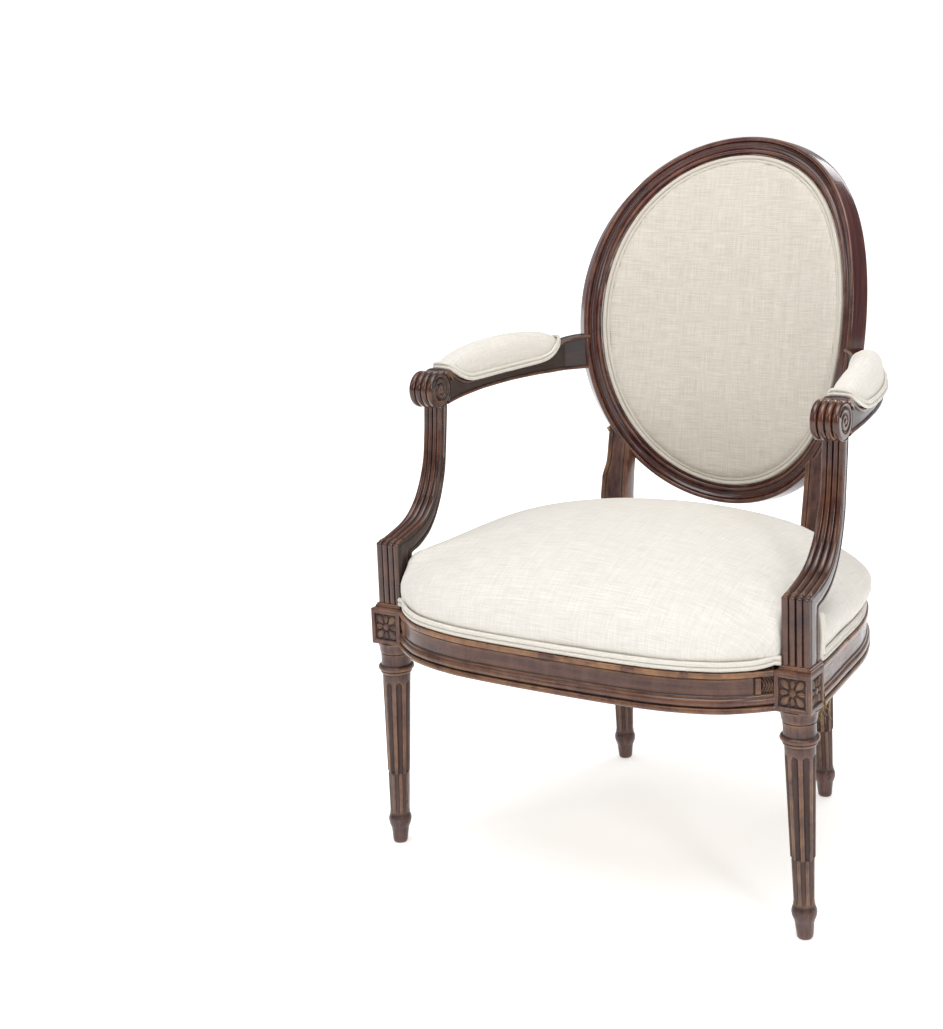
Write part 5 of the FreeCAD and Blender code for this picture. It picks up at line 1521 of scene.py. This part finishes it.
# ------------------------------------------------------------------ arm pads
PAD_TOP = [(0.19, 627.0), (0.21, 631.6), (0.23, 634.8), (0.26, 638.0), (0.30, 640.6), (0.35, 643.0), (0.40, 644.2), (0.52, 645.0), (0.66, 643.0), (0.78, 639.0), (0.88, 633.0), (0.945, 626.0), (0.97, 620.5)]
PAD_HW = [(0.19, 9.0), (0.20, 12.6), (0.215, 15.6), (0.235, 18.2), (0.26, 20.2), (0.29, 21.8), (0.33, 22.9), (0.55, 23.6), (0.8, 22.6), (0.86, 21.4), (0.9, 19.9), (0.93, 18.0), (0.95, 16.0), (0.96, 14.2), (0.97, 11.5)]
PIPE_Z = [(0.19, 625.0), (0.20, 622.8), (0.23, 615.6), (0.26, 610.0), (0.30, 605.6), (0.36, 602.4), (0.50, 600.0), (0.62, 598.6), (0.76, 596.8), (0.84, 596.6), (0.88, 599.0), (0.92, 604.6), (0.95, 610.8), (0.97, 615.4)]


def arm_pads():
    for sx, side in ((1, "left"), (-1, "right")):
        s = Shape()
        rows = []
        ts = [0.197, 0.205, 0.215, 0.225, 0.24, 0.26, 0.285, 0.31, 0.34, 0.37, 0.41, 0.45, 0.5, 0.55, 0.6, 0.65, 0.7, 0.74, 0.78, 0.82, 0.85, 0.88, 0.9, 0.92, 0.935, 0.95, 0.96, 0.966]
        for t in ts:
            zb = lin(PIPE_Z, t) + 0.8
            h = lin(PAD_HW, t) - 2.6
            zt = lin(PAD_TOP, t) - 2.2
            dz = max(zt - zb, 2.5)
            prof = [(h, -3.2), (h * 1.0, 0.0), (h * 1.0, 0.18), (h * 0.985, 0.38), (h * 0.93, 0.58), (h * 0.82, 0.75), (h * 0.64, 0.88), (h * 0.42, 0.96), (h * 0.2, 0.992)]
            pts = [(e, zb + (dz * f if f >= 0 else f)) for e, f in prof]
            sec = pts + [(0, zt)] + [(-e, z) for e, z in pts[::-1]]
            rows.append([((sx * p[0], p[1], p[2]), (0, 0, 0)) for p in (arm_pt(t, e, z) for e, z in sec)])
        s.grid(rows, wrap=True, cap0=True, cap1=True)
        tabt = [(i / 200.0, *bez(ARM_P, i / 200.0)) for i in range(201)]

        def near(x, y):
            ax = abs(x)
            best = min(tabt, key=lambda q: (q[1] - ax) ** 2 + (q[2] - y) ** 2)
            t = best[0]
            tx, ty = bez_tan(ARM_P, t)
            e = (ax - best[1]) * -ty + (y - best[2]) * tx
            return t, e

        def pin(x, y, z):
            t, e = near(x, y)
            zb = lin(PIPE_Z, t)
            p = 1.0 - smoothstep(zb + 1.5, zb + 8.0, z)
            p = max(p, 1.0 - smoothstep(0.0, 0.02, t - 0.197), 1.0 - smoothstep(0.0, 0.015, 0.966 - t))
            return p

        def fabric(x, y, z):
            t, e = near(x, y)
            zt = lin(PAD_TOP, t)
            drop = max(0.0, zt - 4.0 - z)
            return (t * ARM_LEN, e + math.copysign(drop, e), 0.0)

        def extra(x, y, z):
            t, e = near(x, y)
            zb = lin(PIPE_Z, t)
            a = 0.22 * math.sin(t * 190) * math.exp(-((z - zb - 6) / 5.0) ** 2)
            return (0, 0, a + 0.3 * noise.noise(Vector((t * 9, e * 0.05, sx * 2.0))))

        ob = pillow("arm_pad_" + side, s, 3.6, 3.2, pin, MAT["armpad"], fabric, extra=extra, pressure=4.0, smooth=2)
        done(ob, ["arm_cover_" + side, "arm_stuffing_" + side])
        # double piping round the boat-shaped foot of the pad
        s = Shape()
        for kk, (de, dz) in enumerate(((0.6, -1.7), (-0.2, 3.2))):
            loop = []
            tt = [0.19 + 0.78 * (0.5 - 0.5 * math.cos(math.pi * i / 44)) for i in range(45)]
            fr, bk = tt[0], tt[-1]
            out = [arm_pt(t, lin(PAD_HW, t) + de, lin(PIPE_Z, t) + dz) for t in tt]
            inn = [arm_pt(t, -lin(PAD_HW, t) - de, lin(PIPE_Z, t) + dz) for t in tt[::-1]]
            end_f = [arm_pt(0.9755 + (0.004 if kk == 0 else 0.0), e, lin(PIPE_Z, 0.97) + dz + 1.4) for e in (6.0, 0.0, -6.0)]
            end_b = [arm_pt(0.1825 - (0.004 if kk == 0 else 0.0), e, lin(PIPE_Z, 0.19) + dz + 0.8) for e in (-4.0, 4.0)]
            loop = out + end_f + inn + end_b
            loop = resample([tuple(p) for p in catmull(loop, 3, True)], 3.2, True)
            tube(s, [(sx * p.x, p.y, p.z) for p in loop], 2.5, True, 10, kk * 40 + 90 * sx)
        ob = s.object("arm_piping_" + side, MAT["pipe"], "fabric", 60)
        done(ob, [])


arm_pads()


# ------------------------------------------------------------------ under the seat
def under_seat():
    circ = [(280.0, -224.5, 26.0), (152.0, 148.0, 27.0)]

    def lim(x, y):
        """pulls an outline point in where a leg's head passes"""
        ax = abs(x)
        d = Vector((ax, y - CY0))
        L = d.length
        d.normalize()
        best = L
        for cx, cy, r in circ:
            r += 0.6
            c = Vector((cx, cy - CY0))
            b = d.dot(c)
            disc = b * b - (c.length_squared - r * r)
            if disc > 0:
                t = b - math.sqrt(disc)
                best = min(best, t)
        return math.copysign(d.x * best, x), CY0 + d.y * best
    s = Shape()
    rows = []
    out = []
    for i in range(NR):
        out.append(lim(*rim_pt(i, 9.4)))
    for k in [0.02, 0.15, 0.3, 0.45, 0.6, 0.72, 0.82, 0.89, 0.94, 0.97, 1.0]:
        sag = 5.0 * (1 - k * k) ** 1.5
        row = []
        for x, y in out:
            px, py = x * k, CY0 + (y - CY0) * k
            z = 275.15 - sag - 0.5 * abs(noise.noise(Vector((px * 0.02, py * 0.02, 0)))) * (1 - k)
            row.append(((px, py, z), (px, py, 0)))
        rows.append(row)
    s.grid(rows, wrap=True, cap0=True)
    ob = s.object("under_seat_cloth", MAT["hessian"], "fabric", 60)
    so = ob.modifiers.new("thick", "SOLIDIFY")
    so.thickness = 0.0009
    so.offset = 0.0
    # loose threads of the cloth's edge by the front left block
    t = Shape()
    import random
    rnd = random.Random(11)
    for i in range(15):
        x = 293.5 + rnd.random() * 8.0
        y = -203.0 + rnd.random() * 16.0
        L = 8.0 + rnd.random() * 18.0
        bx, by = (rnd.random() - 0.3) * 9.0, (rnd.random() - 0.6) * 8.0
        ph = rnd.random() * 6.28
        pts = []
        for k in range(9):
            f = k / 8
            pts.append((x + bx * f * f + 1.3 * math.sin(ph + f * 5), y + by * f + 1.2 * math.cos(ph + f * 4), 276.4 - L * f + 1.0 * math.sin(f * 7 + ph)))
        tube(t, pts, lambda q: 0.36 - 0.16 * q, False, 5, i * 3.0, wob=0.0)
    th = t.object("under_seat_threads", MAT["thread"], "fabric", 60)
    done(th, [])
    done(ob, ["under_cloth"])


under_seat()

for node, mat in (("corner_blocks", "inner"), ("rail_pegs", "inner"), ("back_frame_dowels", "inner"), ("arm_dowels", "inner"), ("under_cloth_tacks", "iron")):
    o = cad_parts[node]
    if not o.material_slots:
        o.data.materials.append(None)
    for sl in o.material_slots:
        sl.link = "OBJECT"
        sl.material = MAT[mat]


# ------------------------------------------------------------------ stage
def stage():
    me = bpy.data.meshes.new("floor")
    me.from_pydata([(-14, -14, 0), (14, -14, 0), (14, 14, 0), (-14, 14, 0)], [], [(0, 1, 2, 3)])
    fl = bpy.data.objects.new("floor", me)
    bpy.context.scene.collection.objects.link(fl)
    m = Mat("floor_white")
    m.b.inputs["Roughness"].default_value = 0.9
    m.b.inputs["Specular IOR Level"].default_value = 0.1
    a = m.noise(m.scale(m.objco(), (2.0, 2.0, 2.0)), 1.0, 2.0)
    m.link(m.ramp(a, [(0.3, (0.93, 0.93, 0.93)), (0.7, (0.95, 0.95, 0.95))]), m.b.inputs["Base Color"])
    x, y, z = m.sep(m.objco())
    r = m.math("SQRT", m.math("ADD", m.math("MULTIPLY", x, x), m.math("MULTIPLY", y, y)))
    m.link(m.ramp(m.math("MULTIPLY", r, 0.1), [(0.03, 0.78), (0.16, 1.0), (1.0, 1.0)]), m.b.inputs["Emission Color"])
    m.b.inputs["Emission Strength"].default_value = 0.62
    me.materials.append(m.m)
    sc = bpy.context.scene
    w = bpy.data.worlds.new("studio")
    sc.world = w
    w.use_nodes = True
    nt = w.node_tree
    bg = nt.nodes.get("Background")
    bg.inputs["Color"].default_value = (1.0, 1.0, 1.0, 1.0)
    bg.inputs["Strength"].default_value = 0.42
    seen = nt.nodes.new("ShaderNodeBackground")
    seen.inputs["Strength"].default_value = 1.0
    seen.inputs["Color"].default_value = (1.0, 1.0, 1.0, 1.0)
    lp = nt.nodes.new("ShaderNodeLightPath")
    mx = nt.nodes.new("ShaderNodeMixShader")
    nt.links.new(lp.outputs["Is Camera Ray"], mx.inputs[0])
    nt.links.new(bg.outputs[0], mx.inputs[1])
    nt.links.new(seen.outputs[0], mx.inputs[2])
    nt.links.new(mx.outputs[0], nt.nodes.get("World Output").inputs[0])

    def area(name, loc, target, sx, sy, power, col=(1, 1, 1)):
        l = bpy.data.lights.new(name, "AREA")
        l.shape = "RECTANGLE"
        l.size, l.size_y = sx, sy
        l.energy = power
        l.color = col
        o = bpy.data.objects.new(name, l)
        o.location = loc
        d = Vector(target) - Vector(loc)
        o.rotation_euler = d.to_track_quat("-Z", "Y").to_euler()
        sc.collection.objects.link(o)
    area("top_soft", (0.3, -0.75, 2.2), (0.05, 0.05, 0.55), 1.4, 1.4, 16.0)
    area("key_left", (-1.6, -2.3, 2.2), (0, 0, 0.5), 0.55, 1.0, 6.8)
    area("fill_right", (2.2, -1.6, 1.5), (0, 0, 0.5), 0.4, 1.2, 13.0)
    area("rim_back", (0.4, 2.2, 2.2), (0, 0, 0.6), 1.2, 0.6, 8.0)
    su = bpy.data.lights.new("sky_soft", "SUN")
    su.energy = 1.05
    su.angle = 0.9
    so = bpy.data.objects.new("sky_soft", su)
    so.rotation_euler = (Vector((0.10, 0.08, -1.0))).to_track_quat("-Z", "Y").to_euler()
    sc.collection.objects.link(so)
    sc.view_settings.view_transform = "Standard"
    sc.view_settings.look = "None"
    sc.view_settings.exposure = 0.0
    sc.view_settings.gamma = 1.0


stage()
